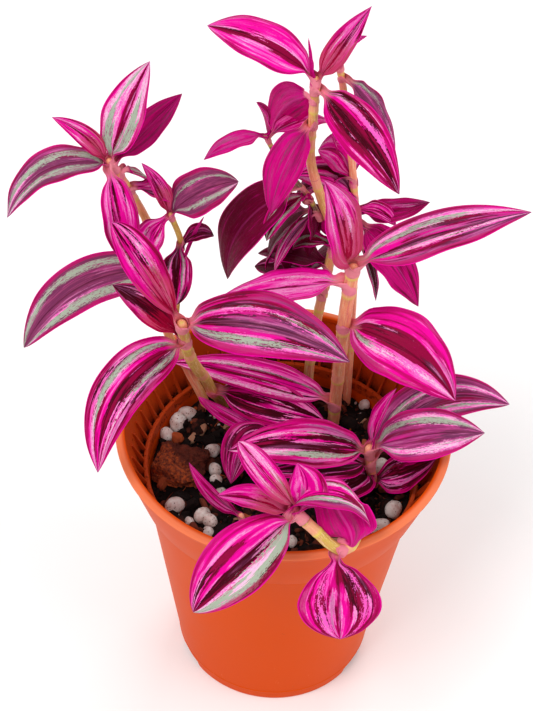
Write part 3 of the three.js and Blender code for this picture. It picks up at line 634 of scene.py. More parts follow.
def stem_rings(name, lanes=28):
    """A stem: circles carried along its path. Their radius runs evenly from foot to tip, less 3%, times 1.08 at a joint
    as a bell curve 0.7 mm wide, 1.01 over the sheath above it, and 1.09 where the mouth of a leafless sheath opens.
    Nine low ribs run along it, and the tip closes as a quarter circle.
    Fields: place on the skin (x, y, run) and (nearness to a joint, sheath, green)."""
    radii, points, bare_joints, green = STEMS[name]
    path, run = smooth_path(points, max(60, len(points) * 34))
    _, across, up = carried_frame(path)
    feet = sorted(joint_of(name, leaf.height)[2] for key, leaf in ALL_LEAVES.items() if stem_of(key) == name)
    mouths = [foot for i, foot in enumerate(feet) if i + 1 == len(feet) or feet[i + 1] - foot > 4]
    joints = [joint_of(name, z)[2] for z in bare_joints]
    joints = [j for j in joints if min((abs(j + SHEATH_RUN - m) for m in mouths), default=99) > 5]
    near, sheath = np.zeros((2, len(run)))
    for joint in joints + [m - SHEATH_RUN for m in mouths]:
        near = np.maximum(near, np.exp(-((run - joint) / JOINT_WIDTH) ** 2))
        part = (run - joint) / SHEATH_RUN
        flare = 0.6 if joint in joints else 0.0
        sheath = np.maximum(sheath, np.where((part > 0) & (part < 1), 0.4 + flare * np.clip(part, 0, 1) ** 5, 0))
    tip = np.clip((run[-1] - run) / (radii[1] * 1.6), 0, 1)
    swelling = 1 + JOINT_SWELLING * near + SHEATH_SWELLING * np.maximum(sheath - 0.3, 0)
    r = np.interp(run, (0, run[-1]), radii) * swelling / 1.03
    r = r * np.sqrt(np.clip(1 - (1 - tip) ** 2, 0.04, 1))
    angle = np.linspace(0, 2 * np.pi, lanes, endpoint=False)
    round_way = across[:, None] * np.cos(angle)[None, :, None] + up[:, None] * np.sin(angle)[None, :, None]
    run, near, sheath = run[:, None], near[:, None], sheath[:, None]
    ribs = 1 + RIB_HEIGHT * np.sin(RIB_COUNT * angle + 0.3 * run) * (1 - near)
    rings = path[:, None] + round_way * (r[:, None] * ribs)[..., None]
    skin = stacked(radii[0] * np.cos(angle), radii[0] * np.sin(angle), run)
    return rings, skin, stacked(near, sheath, green)


def leaf_course(name, leaf, seed, rows):
    """The midrib of a blade, with its side and normal directions, the distance along it, the length of its sheath and
    the sheath's radius. It climbs the stem's skin for the length of the sheath, then follows the chord to the tip plus
    bend x 4t(1-t), and the side turns from the stem's to level, rolled about the run. A blade in COURSES follows the
    smooth path through its own points instead, with the side given at each."""
    joint, grow, _, radius = joint_of(stem_of(name), leaf.height)
    wrap = radius * (1.06 + 0.04 * (seed % 3))
    outward = np.array(leaf.tip, float) - joint
    outward = unit(outward - grow * (outward @ grow))
    if name in COURSES:
        points = np.array(COURSES[name], float)
        points, sides = points[:, :3], points[:, 3:]
        sheath = np.linalg.norm(points[1] - points[0])
    else:
        start = joint + outward * wrap
        chord = np.array(leaf.tip, float) - start
        ahead = unit(chord)
        sheath = SHEATH * np.clip(0.9 + 0.54 * (ahead @ grow), 0.4, 1)
        upward = unit(np.array([0, 0, 1]) - ahead * ahead[2])
        bend = upward * leaf.arch + np.cross(upward, ahead) * leaf.bow
        t = np.array([0.1, 0.22, 0.36, 0.52, 0.68, 0.84, 1.0])[:, None]
        way = unit(chord + bend * 4 * (1 - 2 * t))
        normal = unit(upward - way * (way @ upward)[:, None])
        turn = math.radians(leaf.roll)
        normal = normal * math.cos(turn) + np.cross(way, normal) * math.sin(turn)
        climb = np.array([1.0, 0.35])[:, None] * sheath
        points = np.vstack([start - grow * climb, start + chord * t + bend * 4 * t * (1 - t)])
        sides = np.vstack([np.cross(outward, grow)[None].repeat(2, 0), np.cross(way, normal)])
    curve, run = smooth_path(points, 240)
    marks = [run[np.linalg.norm(curve - q, axis=1).argmin()] for q in points]
    distance = run[-1] * np.linspace(0, 1, rows) ** 1.2
    middle = read_off(distance, run, curve)
    side = read_off(distance, marks, sides)
    way = unit(np.gradient(middle, distance, axis=0))
    side = unit(side - way * (side * way).sum(-1, keepdims=True))
    return middle, side, np.cross(side, way), distance, sheath, wrap


def leaf_rings(name, leaf, seed, rows=54, lanes=21):
    """A blade about its course. At share t of the blade the half width is w (t^a (1-t)^(1-a))^p / its greatest value,
    with a the share where it is widest and p how drawn in it is. Lane v from -1 to 1 lies v w cos f across and
    |v| w sin f - c v^2 w up, where f is the fold, steep at the foot, and c the bulge of each half, with a groove along
    the midrib and slow waves along the margins. In the sheath the lanes lie on an arc round the stem instead:
    r sin(v q) across and r (1 - cos(v q)) up, where q falls off along it. Two skins close it. Fields: (share of the
    length, v, seed), and 1 on the lower skin."""
    width, widest = leaf.width, leaf.widest
    rng = np.random.default_rng(seed)
    middle, side, normal, distance, sheath, wrap = leaf_course(name, leaf, seed, rows)
    distance = distance[:, None]
    t = np.clip((distance - sheath) / (distance[-1] - sheath), 0, 1)
    power = POINTEDNESS.get(name, USUAL_POINTEDNESS)
    outline = (t**widest * (1 - t) ** (1 - widest)) ** power
    outline = outline / ((widest**widest * (1 - widest) ** (1 - widest)) ** power)
    clasp = wrap * np.clip(1 - t / 0.16, 0, 1) ** 0.7
    half = np.maximum(np.maximum(width / 2 * outline, clasp), width * TIP_SHARE)
    v = np.linspace(-1, 1, lanes)
    size = np.abs(v)
    angle = np.radians(leaf.fold + USUAL_FOLD + FOOT_FOLD * np.exp(-((t / 0.08) ** 2)))
    ease = 1 - np.exp(-((t / 0.12) ** 2))
    waves = np.sin(2 * np.pi * (rng.uniform(1.4, 2.6) * t + rng.uniform())) * np.sign(v) * MARGIN_WAVE
    waves = waves + 0.03 * np.sin(2 * np.pi * (rng.uniform(2.5, 4) * t + rng.uniform()))
    pleats = 0.012 * np.cos(2 * np.pi * size * rng.uniform(2.6, 3.6))
    relief = waves * size**3 + pleats - HALF_BULGE * size**2 - MIDRIB_GROOVE * np.exp(-((v / 0.07) ** 2))
    lift = size * np.sin(angle) + ease * relief
    hold = np.clip((distance - 0.6 * sheath) / (0.4 * sheath + 5), 0, 1)
    hold = 1 - hold**2 * (3 - 2 * hold)
    reach = 2.75 * np.exp(-((distance / (sheath + 2)) ** 2)) * v
    across = half * v * np.cos(angle) * (1 - hold) + wrap * np.sin(reach) * hold
    lift = half * lift * (1 - hold) + wrap * (1 - np.cos(reach)) * hold
    sheet = middle[:, None] + side[:, None] * across[..., None] + normal[:, None] * lift[..., None]
    thick = LEAF_THICKNESS - MARGIN_THINNING * size**2
    thick = thick * np.clip(0.5 + t * 8, 0.5, 1) * np.clip((1 - t) * 10, 0.25, 1)
    lanes_way = unit(np.gradient(sheet, axis=1))
    rise = unit(np.cross(lanes_way, np.gradient(sheet, axis=0))) * thick[..., None] * 0.5
    rings = np.concatenate([sheet + rise, (sheet - rise)[:, ::-1]], axis=1)
    lane = np.concatenate([v, v[::-1]])
    under = np.repeat([0.0, 1.0], lanes)
    return rings, stacked(distance / distance[-1], lane, seed), under


# ---- finishes ----


class Signal:
    """What comes out of a node. Plus, minus, times and abs add a math node, and each method adds one node."""

    def __init__(self, finish, socket):
        self.finish, self.socket = finish, socket

    def __add__(self, other):
        return self.finish.math("ADD", self, other)

    def __sub__(self, other):
        return self.finish.math("SUBTRACT", self, other)

    def __rsub__(self, other):
        return self.finish.math("SUBTRACT", other, self)

    def __mul__(self, other):
        return self.finish.math("MULTIPLY", self, other)

    def __abs__(self):
        return self.finish.math("ABSOLUTE", self)

    def step(self, low, high, start=0.0, end=1.0):
        """A smooth rise from start at low to end at high."""
        values = {"Value": self, "From Min": low, "From Max": high, "To Min": start, "To Max": end}
        return self.finish.add("ShaderNodeMapRange", values, interpolation_type="SMOOTHSTEP")

    def noise(self, scale, detail=2.0, roughness=0.5):
        values = {"Vector": self, "Scale": scale, "Detail": detail, "Roughness": roughness}
        return self.finish.add("ShaderNodeTexNoise", values)

    def stretch(self, by):
        return self.finish.add("ShaderNodeVectorMath", {0: self, 1: by}, operation="MULTIPLY")

    def split(self):
        return self.finish.add("ShaderNodeSeparateXYZ", {0: self}, None)


class Finish:
    """A node tree under construction. A colour is given by its name in SWATCHES."""

    def __init__(self, tree):
        self.tree = tree

    def add(self, kind, inputs=(), output=0, **settings):
        """A new node with its settings and inputs. Returns one output as a Signal, or all of them for None."""
        node = self.tree.nodes.new(kind)
        for key, value in settings.items():
            setattr(node, key, value)
        for key, value in dict(inputs).items():
            self.feed(node.inputs[key], value)
        signals = [Signal(self, socket) for socket in node.outputs]
        return signals if output is None else signals[node.outputs.find(output) if isinstance(output, str) else output]

    def feed(self, socket, value):
        """Links a Signal to a socket, or sets a number, a vector or a named colour on it."""
        if isinstance(value, Signal):
            self.tree.links.new(value.socket, socket)
        elif isinstance(value, str):
            socket.default_value = (*getattr(bpy.context.scene.tradescantia, value), 1.0)
        else:
            socket.default_value = value

    def math(self, operation, a, b=0.0):
        return self.add("ShaderNodeMath", {0: a, 1: b}, operation=operation)

    def coats(self, base, *coats):
        """The base colour with each (share, colour) mixed over what lies under it."""
        for share, over in coats:
            base = self.add("ShaderNodeMix", {0: share, 6: base, 7: over}, 2, data_type="RGBA")
        return base

    def attribute(self, name, output="Vector"):
        return self.add("ShaderNodeAttribute", (), output, attribute_name=name)

    def four(self, name):
        """The four numbers of a colour attribute."""
        return (*self.attribute(name, "Color").split(), self.attribute(name, "Alpha"))

    def place(self):
        """Object coordinates in millimetres."""
        return self.add("ShaderNodeTexCoord", (), "Object").stretch((1000.0, 1000.0, 1000.0))

    def mottle(self, place, size, specks):
        """Uneven tone, fine grain and small specks over a surface, each from 0 to 1: a shared group, built once."""
        tree = bpy.data.node_groups.get("mottle")
        if not tree:
            tree = bpy.data.node_groups.new("mottle", "ShaderNodeTree")
            for label, kind in (("Vector", "Vector"), ("Size", "Float"), ("Specks", "Float")):
                tree.interface.new_socket(label, in_out="INPUT", socket_type=f"NodeSocket{kind}")
            inner = Finish(tree)
            vector, scale, amount, _ = inner.add("NodeGroupInput", (), None)
            cloud = vector.noise(scale, 4.0, 0.6)
            grain = vector.noise(scale * 14.0, 2.0, 0.6)
            made = {"Cloud": cloud, "Grain": grain, "Specks": grain.step(0.78 - amount * 0.2, 0.8)}
            for label in made:
                tree.interface.new_socket(label, in_out="OUTPUT", socket_type="NodeSocketFloat")
            inner.add("NodeGroupOutput", made, None)
        return self.add("ShaderNodeGroup", {"Vector": place, "Size": size, "Specks": specks}, None, node_tree=tree)


def leaf_pattern(f):
    """Striped blade. Two patterns meet: a silver band on each side, ragged at its edges, and long sharp streaks where
    the dark pigment is missing. Together they give silver green, blush, plum and magenta. Each blade's tones and bands
    set how much of each, and a thin bright margin closes it. The lower skin is plainer."""
    along, lane, seed = f.attribute("blade").split()
    silver, pink, dark, plain = f.four("tones")
    under, edge, dusk, youth = f.four("sides")
    left_middle, left_width, right_middle, right_width = f.four("bands")
    shift = seed * 7.31
    size = abs(lane)
    on_right = f.math("GREATER_THAN", lane, 0.0)

    def streak(run, across, offset, detail=2.0, roughness=0.5):
        """Noise with its features stretched along the blade, less its mean."""
        place = f.add("ShaderNodeCombineXYZ", {0: along * run, 1: lane * across, 2: shift + offset})
        return place.noise(1.0, detail, roughness) - 0.5

    def of_half(left, right):
        return left * (1.0 - on_right) + right * on_right

    sector = streak(1.3, 3.2, 0.0)
    drift = streak(1.6, 2.2, 31.0)
    stretch = streak(2.2, 0.9, 141.0)
    line = streak(2.4, 6.6, 57.0, 3.0, 0.55)
    hair = streak(8.0, 32.0, 83.0, 3.0, 0.6)
    fleck = streak(46.0, 26.0, 113.0, 2.0, 0.7)
    margin = edge * (size - 0.45)

    missing = sector * 1.2 + line * 0.9 + hair * 0.2 + fleck * 0.15 + (pink - 0.5) * 0.42 + margin * 0.75
    missing = missing.step(-0.015, 0.02)
    width = of_half(left_width, right_width)
    reach = width * 0.42 + line * 0.34 + hair * 0.45 + fleck * 0.4 + stretch * 0.45
    off_middle = abs(size - of_half(left_middle, right_middle) + drift * 0.35)
    band = (reach - off_middle).step(-0.015, 0.03) * width.step(0.01, 0.08)

    deep = f.coats(
        "crimson",
        ((line + hair * 0.25 + drift * 0.6 + (dark - 0.5) * 0.45).step(-0.08, 0.04), "dark_plum"),
        ((hair * 0.5 + line * 0.5 + fleck * 0.6).step(0.09, 0.18) * 0.22, "mauve"),
    )
    bright = f.coats(
        "magenta",
        ((sector * 0.7 + line * 0.8 + (pink - 0.6) * 0.3).step(-0.08, 0.08), "hot_pink"),
        ((line + hair * 0.25 + drift * 0.5 + (pink - 0.5) * 0.12).step(0.045, 0.075) * 0.85, "rosy"),
        ((line + hair * 0.35 + drift * 0.5 + fleck * 0.3).step(0.11, 0.135) * 0.9, "pink"),
    )
    haze = f.coats("dusky", ((line * 0.6 + hair * 0.9).step(-0.05, 0.1), "mauve"))
    plain_zone = f.coats(
        deep, (missing, bright), ((drift * 0.9 + line * 0.6 + hair * 0.2 + dusk * 0.8).step(0.27, 0.46) * 0.75, haze)
    )
    tint = (line * 0.6 + hair * 0.7 + fleck * 0.55 + (0.5 - silver) * 0.2).step(-0.04, 0.1)
    silver_zone = f.coats("silver", (tint, haze), ((fleck * 0.9 + hair * 0.4).step(0.16, 0.22) * 0.7, "crimson"))
    blush_zone = f.coats("blush", (tint, "rosy"))
    blank = sector * 1.2 + line * 0.9 + hair * 0.25 + fleck * 0.15 + (pink - silver) * 0.42
    blank = (blank + (along - 0.4) * 0.35 + margin * 0.3).step(0.0, 0.05)
    rim_zone = f.coats("crimson", ((line + sector * 0.8).step(-0.16, 0.04), "magenta"))
    upper = f.coats(
        plain_zone,
        (band, f.coats(silver_zone, (blank, blush_zone))),
        ((fleck * 0.8 - hair * 0.3).step(0.14, 0.2) * 0.4, "crimson"),
        ((size + line * 0.3 + drift * 0.3).step(0.8, 0.86) * 0.8, rim_zone),
        (size.step(0.95, 0.98), "hot_pink"),
        # painted shade: a dark plum line along the midrib for the shade in its groove
        (size.step(0.05, 0.015) * 0.55, "dark_plum"),
    )
    lower = f.coats(
        "under",
        ((line * 0.9 + hair * 0.3 + sector * 0.6 + (dark - 0.45) * 0.6).step(-0.16, 0.16), "under_dark"),
        ((hair * 0.8 - line * 0.5).step(0.04, 0.16) * (0.6 - dark * 0.45), "hot_pink"),
        (size.step(0.06, 0.02) * (0.4 - dark * 0.3), "rosy"),
        ((drift + sector * 0.7 + hair * 0.3 - dark * 0.5).step(-0.12, 0.06) * 0.4, "hot_pink"),
        (size.step(0.955, 0.985), "hot_pink"),
    )
    red = youth * (line * 1.2 - along + drift * 0.6).step(-0.6, -0.4)
    body = f.coats(
        upper,
        (f.math("MAXIMUM", plain, under * 0.9), lower),
        (red * 0.75, f.coats("young", (missing * 0.18, "foot"))),
        ((along + line * 0.12).step(0.15, 0.06) * 0.8, "foot"),
    )
    return body, line + hair * 0.9 + fleck * 0.9, fleck.step(-0.25, 0.25, 0.27, 0.42)


def stem_pattern(f):
    """Fleshy stem: peach to yellow green, streaked along its run, greener at a joint and pale pink in a sheath."""
    skin = f.attribute("skin")
    near, sheath, green = f.attribute("marks").split()
    x, y, run = skin.split()
    place = f.add("ShaderNodeCombineXYZ", {0: run, 1: x, 2: y})
    coarse = place.stretch((0.08, 1.0, 1.0)).noise(1.6, 3.0, 0.6)
    streaks = coarse * 0.65 + place.stretch((0.3, 1.0, 1.0)).noise(5.28, 2.0, 0.55) * 0.35
    patch = skin.stretch((0.15, 0.15, 0.05)).noise(1.0) - 0.5
    body = f.coats(
        "peach",
        ((green + patch * 1.8).step(0.2, 0.8), "olive"),
        (green.step(1.0, 1.6), "wood"),
        (streaks.step(0.5, 0.62) * 0.5, "rose"),
        (streaks.step(0.47, 0.4) * 0.6, "pale"),
        (patch.step(0.06, 0.18) * 0.5, "rose"),
        (sheath.step(0.1, 0.4, 0.0, 0.5), "sheath"),
        (sheath.step(0.7, 0.95, 0.0, 0.5), "rose"),
        (near * 0.65, "joint"),
    )
    return body, streaks, 0.42


def pot_pattern(f):
    """Moulded plastic: even orange with faint clouding, scuffs and specks, soil dust and painted shade inside the
    collar, and a painted highlight on the lip.
    """
    place = f.place()
    x, y, z = place.split()
    cloud, grain, specks = f.mottle(place, 0.03, 0.15)
    radius = f.math("SQRT", x * x + y * y)
    wall = (z - POT_HEIGHT) * COLLAR_SLOPE + RIM_RADIUS
    inside = (wall - radius).step(1.2, 1.9) * z.step(118.0, 116.0) * z.step(95.6, 96.4)
    scuffs = place.stretch((0.5, 0.5, 0.12)).noise(0.9, 3.0, 0.7).step(0.66, 0.74) * z.step(45.0, 5.0)
    # where a painted highlight lies along the top of the lip
    lip = z.step(118.2, 119.2) * (radius + cloud * 0.8).step(RIM_RADIUS - 2.6, RIM_RADIUS - 1.0)
    dust = place.noise(0.5, 4.0, 0.75)
    dirt = inside * (dust + z.step(104.0, 97.0) * 0.1).step(0.62, 0.7)
    depth = (radius - RING_RADIUS) * 1.7 + RING_TOP - z
    body = f.coats(
        "pot",
        (cloud * 0.4, "pot_warm"),
        (specks * 0.35, "pot_dust"),
        (scuffs * 0.3, "pot_scuff"),
        # painted shade: the inner face of the collar darker and redder
        (inside * 0.6, "pot_inside_shade"),
        # painted highlight: the top of the lip lighter
        (lip * 0.85, "pot_lip_highlight"),
        (dirt * 0.6, "soil"),
        # soil colour deepening down into the gutter between the braces: partly settled soil, partly painted shade
        (inside * (depth + dust * 2.0).step(1.4, 5.0) * 0.85, "soil"),
    )
    return body, grain + dirt, cloud * 0.16 + dirt * 0.3 + 0.36


def mix_pattern(f):
    """Damp mix: near-black fibre with rusty and tan pieces, each lump in a tone of its own."""
    cloud, grain, specks = f.mottle(f.place(), 0.3, 0.5)
    tone = f.attribute("tone", "Fac")
    shade = (cloud - 0.5) * 0.7
    body = f.coats(
        "soil",
        ((tone + shade).step(0.3, 0.8), "rust"),
        ((tone + shade * 0.3).step(0.78, 0.92) * 0.8, "bark_orange"),
        (tone.step(0.93, 0.97) * 0.8, "tan"),
        (specks * 0.5, "rust"),
    )
    return body, grain + cloud, 0.8


def bark_pattern(f):
    """Bark: a crumbly orange-brown face that turns to smooth dark maroon, with dark pits and pale crumbs."""
    place = f.place()
    wide_cloud = f.mottle(place, 0.35, 0.6)[0]
    cloud, grain, specks = f.mottle(place, 0.75, 0.9)
    face = (f.attribute("tone", "Fac") + (wide_cloud - 0.5) * 1.2).step(0.4, 0.62)
    crumbly = f.coats("rust", (cloud.step(0.4, 0.64), "bark_orange"), (specks * 0.7, "tan"))
    smooth = f.coats("bark_dark", (wide_cloud.step(0.3, 0.7), "rust"))
    body = f.coats(crumbly, (face, smooth), (cloud.step(0.38, 0.3) * 0.85, "soil"))
    return body, cloud + grain * 0.5, 0.8


def grit_pattern(f):
    """Pale volcanic grit: off-white with pink and grey clouds and small dark pores."""
    place = f.place()
    cloud, grain, _ = f.mottle(place, 0.3, 0.3)
    pores = f.add("ShaderNodeTexVoronoi", {"Vector": place, "Scale": 0.9})
    body = f.coats("grit", (cloud.step(0.35, 0.65), "grit_pink"), (pores.step(0.24, 0.16) * 0.75, "rust"))
    return body, grain + pores.step(0.1, 0.3), 0.75


# Each finish: name of its material, strength and depth in millimetres of its bump, specular level, and the pattern that
# gives its colour, height and roughness
FINISHES = {
    "leaf": ("striped_leaf", 0.75, 0.3, 0.04, leaf_pattern),
    "stem": ("fleshy_stem", 0.3, 0.2, 0.25, stem_pattern),
    "pot": ("moulded_plastic", 0.1, 0.12, 0.05, pot_pattern),
    "mix": ("damp_mix", 0.9, 0.6, 0.2, mix_pattern),
    "bark": ("rust_bark", 1.0, 0.8, 0.2, bark_pattern),
    "grit": ("pale_grit", 0.8, 0.4, 0.2, grit_pattern),
}


def material(finish):
    """The material of that finish, made when it is first asked for."""
    name, bump, depth, specular, pattern = FINISHES[finish]
    if name not in bpy.data.materials:
        made = bpy.data.materials.new(name)
        made.use_nodes = True
        f = Finish(made.node_tree)
        body, height, roughness = pattern(f)
        relief = f.add("ShaderNodeBump", {"Strength": bump, "Distance": depth * MM, "Height": height})
        values = {"Base Color": body, "Roughness": roughness, "Specular IOR Level": specular, "Normal": relief}
        for key, value in values.items():
            f.feed(made.node_tree.nodes["Principled BSDF"].inputs[key], value)
    return bpy.data.materials[name]


# Colours that a user may change: sRGB hex
SWATCHES = {
    "magenta": "be0564", "hot_pink": "f0069c", "rosy": "fb5cc0", "pink": "ff9cd6", "crimson": "90063c",
    "dark_plum": "460316", "young": "b4043a", "mauve": "a24c7a", "dusky": "743a64", "silver": "aab6a2",
    "blush": "f8c2e0", "under": "cc0476", "under_dark": "6a022c", "foot": "ff9aa6", "wood": "6a5644",
    "peach": "fea27a", "olive": "d2b04e", "rose": "d85674", "pale": "ffdcb4", "sheath": "ffac94", "joint": "e2d84c",
    # Of the pot's colours, the lip's is a painted highlight and the collar's inner face's is painted shade
    "pot": "d44a04", "pot_warm": "dc4e0a", "pot_lip_highlight": "f4845a", "pot_dust": "a8431e", "pot_scuff": "eb8a60",
    "pot_inside_shade": "a23c20", "soil": "150806", "rust": "783626", "tan": "cc9e80", "bark_orange": "c85c2c",
    "bark_dark": "4a1a16", "grit": "ece4df", "grit_pink": "d3b8b0",
}


def colour(text):
    """An sRGB hex colour as linear red, green and blue."""
    c = np.array([int(text[i : i + 2], 16) for i in (0, 2, 4)]) / 255
    return tuple(float(x) for x in np.where(c <= 0.04045, c / 12.92, ((c + 0.055) / 1.055) ** 2.4))


# ---- settings, operators and panel ----


class TradescantiaSettings(bpy.types.PropertyGroup):
    """Sizes and colours of the plant, its pot and its stage."""

    pot_lanes: IntProperty(name="Pot lanes", description="Points round the pot's wall", default=300, min=60)
    crumb_count: IntProperty(name="Crumbs", description="Small lumps strewn on the mix", default=1500, min=0)
    clod_count: IntProperty(name="Clods", description="Large dark lumps strewn on the mix", default=420, min=0)
    chip_count: IntProperty(name="Chips", description="Long bark chips strewn on the mix", default=300, min=0)
    floor_size: FloatProperty(
        name="Floor", description="Side of the floor", default=6.0, subtype="DISTANCE", unit="LENGTH"
    )
    floor_tone: FloatProperty(name="Floor tone", description="How pale the floor is", default=0.98, min=0, max=1)
    key_power: FloatProperty(name="Key light", description="Strength of the key light", default=17.5, min=0)
    sky_power: FloatProperty(name="Sky light", description="Strength of the light from all round", default=0.6, min=0)


for swatch, hex_code in SWATCHES.items():
    TradescantiaSettings.__annotations__[swatch] = FloatVectorProperty(
        name=swatch.replace("_", " ").capitalize(), description="Colour of that finish", subtype="COLOR",
        default=colour(hex_code), min=0, max=1,
    )


class TRADESCANTIA_OT_pot(bpy.types.Operator):
    """Adds the pot with the braces of its collar"""

    bl_idname = "tradescantia.pot"
    bl_label = "Pot"

    def execute(self, context):
        rings = pot_rings(context.scene.tradescantia.pot_lanes)
        ring_mesh("pot_wall", rings, "pot", crease=40, stands_for="pot")
        ring_mesh("pot_braces", fin_rings(), "pot", crease=30)
        return {"FINISHED"}


class TRADESCANTIA_OT_mix(bpy.types.Operator):
    """Adds the potting mix, its loose crumbs, chips and fibres, the pale grit and the bark slab"""

    bl_idname = "tradescantia.mix"
    bl_label = "Potting mix"

    def execute(self, context):
        settings = context.scene.tradescantia
        bed = soil_rings(rows=110, lanes=300)
        ring_mesh("soil_bed", bed, "mix", {"tone": [0]}, stands_for="potting_mix")
        self.strew("soil_crumbs", settings.crumb_count)
        self.strew("soil_clods", settings.clod_count)
        self.strew("bark_chips", settings.chip_count)
        roots = fibre_rings(ROOT_COUNT, seed=15, reach=SOIL_RADIUS - 2)
        self.add("fine_roots", roots, np.random.default_rng(16).uniform(0.5, 1, len(roots)), crease=None)
        self.grit()
        self.strew("grit_crumbs", GRIT_CRUMB_COUNT)
        x, y, *sizes, tone = np.array(ACCENTS).T
        centres = on_mix(x, y, 0.5 * sizes[2])
        half = np.array(sizes).T / 2
        chips = crumb_rings(centres, half, roughness=0.16, rows=14, lanes=20, seed=35, power=0.8, tilt=0.25)
        self.add("large_chips", chips, tone)
        self.gutter_crumbs()
        self.slab()
        return {"FINISHED"}

    def add(self, name, lumps, tones, finish="mix", crease=40):
        """Lumps as one piece of the mix, each in a tone of its own."""
        ring_mesh(name, lumps, finish, {"tone": np.reshape(tones, (-1, 1, 1, 1))}, crease=crease)

    def strew(self, name, count):
        """Lumps at random places on the mix, none on the bark slab, small ones more common than large."""
        (least, most), squash, roughness, grid, seed, power, tones, finish, margin = STREWN[name]
        rng = np.random.default_rng(seed)
        distance = (SOIL_RADIUS - margin) * np.sqrt(rng.uniform(0, 1, count * 2))
        angle = rng.uniform(0, 2 * np.pi, count * 2)
        x, y = distance * np.cos(angle), distance * np.sin(angle)
        free = np.hypot(x - BARK_CENTRE[0], y - BARK_CENTRE[1]) > BARK_CLEARANCE
        x, y = x[free][:count], y[free][:count]
        half = least + (most - least) * rng.uniform(0, 1, len(x)) ** 2
        half = np.minimum(half, (SOIL_RADIUS + 0.5 - np.hypot(x, y)) * 0.8)
        centres = on_mix(x, y, half * squash[2] * 0.5)
        lumps = crumb_rings(centres, half[:, None] * np.array(squash), roughness, *grid, seed + 1, power)
        self.add(name, lumps, rng.uniform(*tones, len(x)), finish)

    def grit(self):
        """The pale grains, three quarters of their half size above the mix and none through the pot's wall."""
        x, y, size = np.array(GRIT).T
        inward = np.minimum(1, (SOIL_RADIUS + 1 - size * 0.62) / np.hypot(x, y))
        x, y, half = x * inward, y * inward, size / 2 * 1.1
        centres = on_mix(x, y, half * 0.75)
        half = half[:, None] * np.array([1.1, 0.92, 0.85])
        grains = crumb_rings(centres, half, roughness=0.07, rows=18, lanes=26, seed=13)
        ring_mesh("pale_grit", grains, "grit")

    def gutter_crumbs(self):
        """Dust and grit caught in the gutter between the braces, more of it on the left."""
        rng = np.random.default_rng(31)
        count = GUTTER_CRUMB_COUNT
        angle = np.concatenate([rng.normal(math.pi, 0.55, count // 2), rng.uniform(0, 2 * np.pi, count - count // 2)])
        half = 0.18 + 0.5 * rng.uniform(0, 1, count) ** 3
        height = GUTTER_FLOOR + rng.uniform(0.6, 3.2, count)
        inner, outer = RING_RADIUS + 0.2, collar_radius(height) - COLLAR_WALL - 0.1
        distance = inner + (outer - inner) * rng.uniform(0, 1, count)
        centres = stacked(distance * np.cos(angle), distance * np.sin(angle), height)
        half = half[:, None] * np.array((1, 0.8, 0.7))
        lumps = crumb_rings(centres, half, roughness=0.2, rows=5, lanes=7, seed=32)
        self.add("gutter_crumbs", lumps, rng.uniform(0, 1, count) ** 2)

    def slab(self):
        """The bark slab: a ball squared off by raising each coordinate to the power 0.6, split and chipped by steps and
        ripples, with a flat underside."""
        ball = ball_rings(rows=110, lanes=160)
        steps = 0.09 * np.round(2.2 * ripple(ball, 1.3, 21)) + 0.05 * ripple(ball, 0.8, 24)
        steps = steps + 0.02 * ripple(ball, 0.22, 22)
        slab = np.sign(ball) * np.abs(ball) ** 0.6 * (0.93 + steps[..., None])
        slab[..., 2] = np.maximum(slab[..., 2], -0.9)
        slab = slab * BARK_HALF_SIZE * 0.98
        chips = 0.4 * ripple(slab, 3.0, 23) + 0.3 * ripple(slab, 1.3, 26) + 0.22 * ripple(slab, 0.7, 25)
        slab[..., 2] += chips * (slab[..., 2] > 0)
        face = np.clip(0.5 + (slab[..., 0] * 0.5 + slab[..., 1]) / 9, 0, 1)
        turn = np.array(Matrix.Rotation(math.radians(BARK_HEADING), 3, "Z"))
        rings = slab @ turn.T + BARK_CENTRE
        ring_mesh("bark_slab", rings, "bark", {"tone": face[..., None]}, crease=35, stands_for="bark_chunk")


class TRADESCANTIA_OT_stems(bpy.types.Operator):
    """Adds the jointed stems with the sheaths at their leaves"""

    bl_idname = "tradescantia.stems"
    bl_label = "Stems"

    def execute(self, context):
        for name in STEMS:
            rings, skin, marks = stem_rings(name)
            fields = {"skin": skin, "marks": marks}
            ring_mesh(f"{name}_stalk", rings, "stem", fields, stands_for=f"{name}_stem")
        return {"FINISHED"}


class TRADESCANTIA_OT_leaves(bpy.types.Operator):
    """Adds the striped leaves, large and small"""

    bl_idname = "tradescantia.leaves"
    bl_label = "Leaves"

    def execute(self, context):
        for seed, (name, leaf) in enumerate(ALL_LEAVES.items()):
            rings, blade, under = leaf_rings(name, leaf, seed)
            silver = leaf.tones[0]
            drawn = np.random.default_rng(seed + 500).uniform(*DRAWN_BANDS) * (1, silver, 1, silver)
            *bands, edge, dusk = BANDS.get(name, (*drawn, *USUAL_EDGE_AND_DUSK))
            sides = stacked(under, edge, dusk, float(name in YOUNG))
            fields = {"blade": blade, "tones": leaf.tones, "bands": bands, "sides": sides}
            uv = blade[..., :2] * (1, 0.5) + (0, 0.5)
            if name in LEAVES:
                ring_mesh(f"{name}_blade", rings, "leaf", fields, uv, stands_for=name)
            else:
                ring_mesh(name, rings, "leaf", fields, uv)
        return {"FINISHED"}


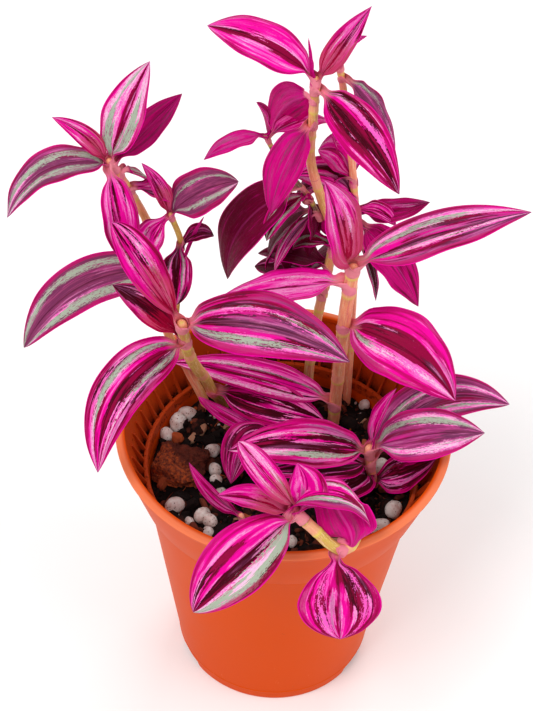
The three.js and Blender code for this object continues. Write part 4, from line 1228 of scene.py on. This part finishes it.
class TRADESCANTIA_OT_stage(bpy.types.Operator):
    """Adds the floor, the soft lights and the camera"""

    bl_idname = "tradescantia.stage"
    bl_label = "Stage"

    def execute(self, context):
        scene = context.scene
        settings = scene.tradescantia
        half = settings.floor_size / 2
        mesh = bpy.data.meshes.new("floor")
        mesh.from_pydata([(-half, -half, 0), (half, -half, 0), (half, half, 0), (-half, half, 0)], [], [(0, 1, 2, 3)])
        paint = bpy.data.materials.new("floor_paint")
        paint.use_nodes = True
        inputs = paint.node_tree.nodes["Principled BSDF"].inputs
        inputs["Base Color"].default_value = (*[settings.floor_tone] * 3, 1)
        inputs["Roughness"].default_value = 0.9
        inputs["Specular IOR Level"].default_value = 0.0
        mesh.materials.append(paint)
        linked("floor", mesh)
        for name, (place, size, share) in LIGHTS.items():
            lamp = bpy.data.lights.new(name, "AREA")
            lamp.size, lamp.energy = size, settings.key_power * share
            light = linked(name, lamp)
            light.location = place
            light.rotation_euler = (Vector(LIGHT_TARGET) - Vector(place)).to_track_quat("-Z", "Y").to_euler()
        scene.world = bpy.data.worlds.new("studio")
        scene.world.use_nodes = True
        sky = scene.world.node_tree.nodes["Background"].inputs
        sky["Color"].default_value = (1, 1, 1, 1)
        sky["Strength"].default_value = settings.sky_power
        scene.view_settings.view_transform = "Standard"
        scene.camera = linked("camera", bpy.data.cameras.new("camera"))
        scene.camera.data.lens = CAMERA_LENS
        scene.camera.data.sensor_width = 36
        scene.camera.data.clip_end = 50
        scene.camera.matrix_world = (
            Matrix.Translation(Vector(CAMERA_PLACE) * MM)
            @ Matrix.Rotation(math.radians(CAMERA_TILT), 4, "X")
            @ Matrix.Rotation(math.radians(CAMERA_TURN), 4, "Z")
        )
        return {"FINISHED"}


OPERATORS = (
    TRADESCANTIA_OT_pot, TRADESCANTIA_OT_mix, TRADESCANTIA_OT_stems, TRADESCANTIA_OT_leaves, TRADESCANTIA_OT_stage,
)


class TRADESCANTIA_PT_panel(bpy.types.Panel):
    """Lists the pieces of the plant and its settings"""

    bl_idname = "TRADESCANTIA_PT_panel"
    bl_label = "Potted tradescantia"
    bl_space_type = "VIEW_3D"
    bl_region_type = "UI"
    bl_category = "Tradescantia"

    def draw(self, context):
        for operator in OPERATORS:
            self.layout.operator(operator.bl_idname)
        for key in TradescantiaSettings.__annotations__:
            self.layout.prop(context.scene.tradescantia, key)


CLASSES = (TradescantiaSettings, *OPERATORS, TRADESCANTIA_PT_panel)


def register():
    for entry in CLASSES:
        bpy.utils.register_class(entry)
    bpy.types.Scene.tradescantia = PointerProperty(type=TradescantiaSettings)


def unregister():
    del bpy.types.Scene.tradescantia
    for entry in reversed(CLASSES):
        bpy.utils.unregister_class(entry)


def main():
    register()
    bpy.ops.tradescantia.pot()
    bpy.ops.tradescantia.mix()
    bpy.ops.tradescantia.stems()
    bpy.ops.tradescantia.leaves()
    bpy.ops.tradescantia.stage()


if __name__ == "__main__":
    main()
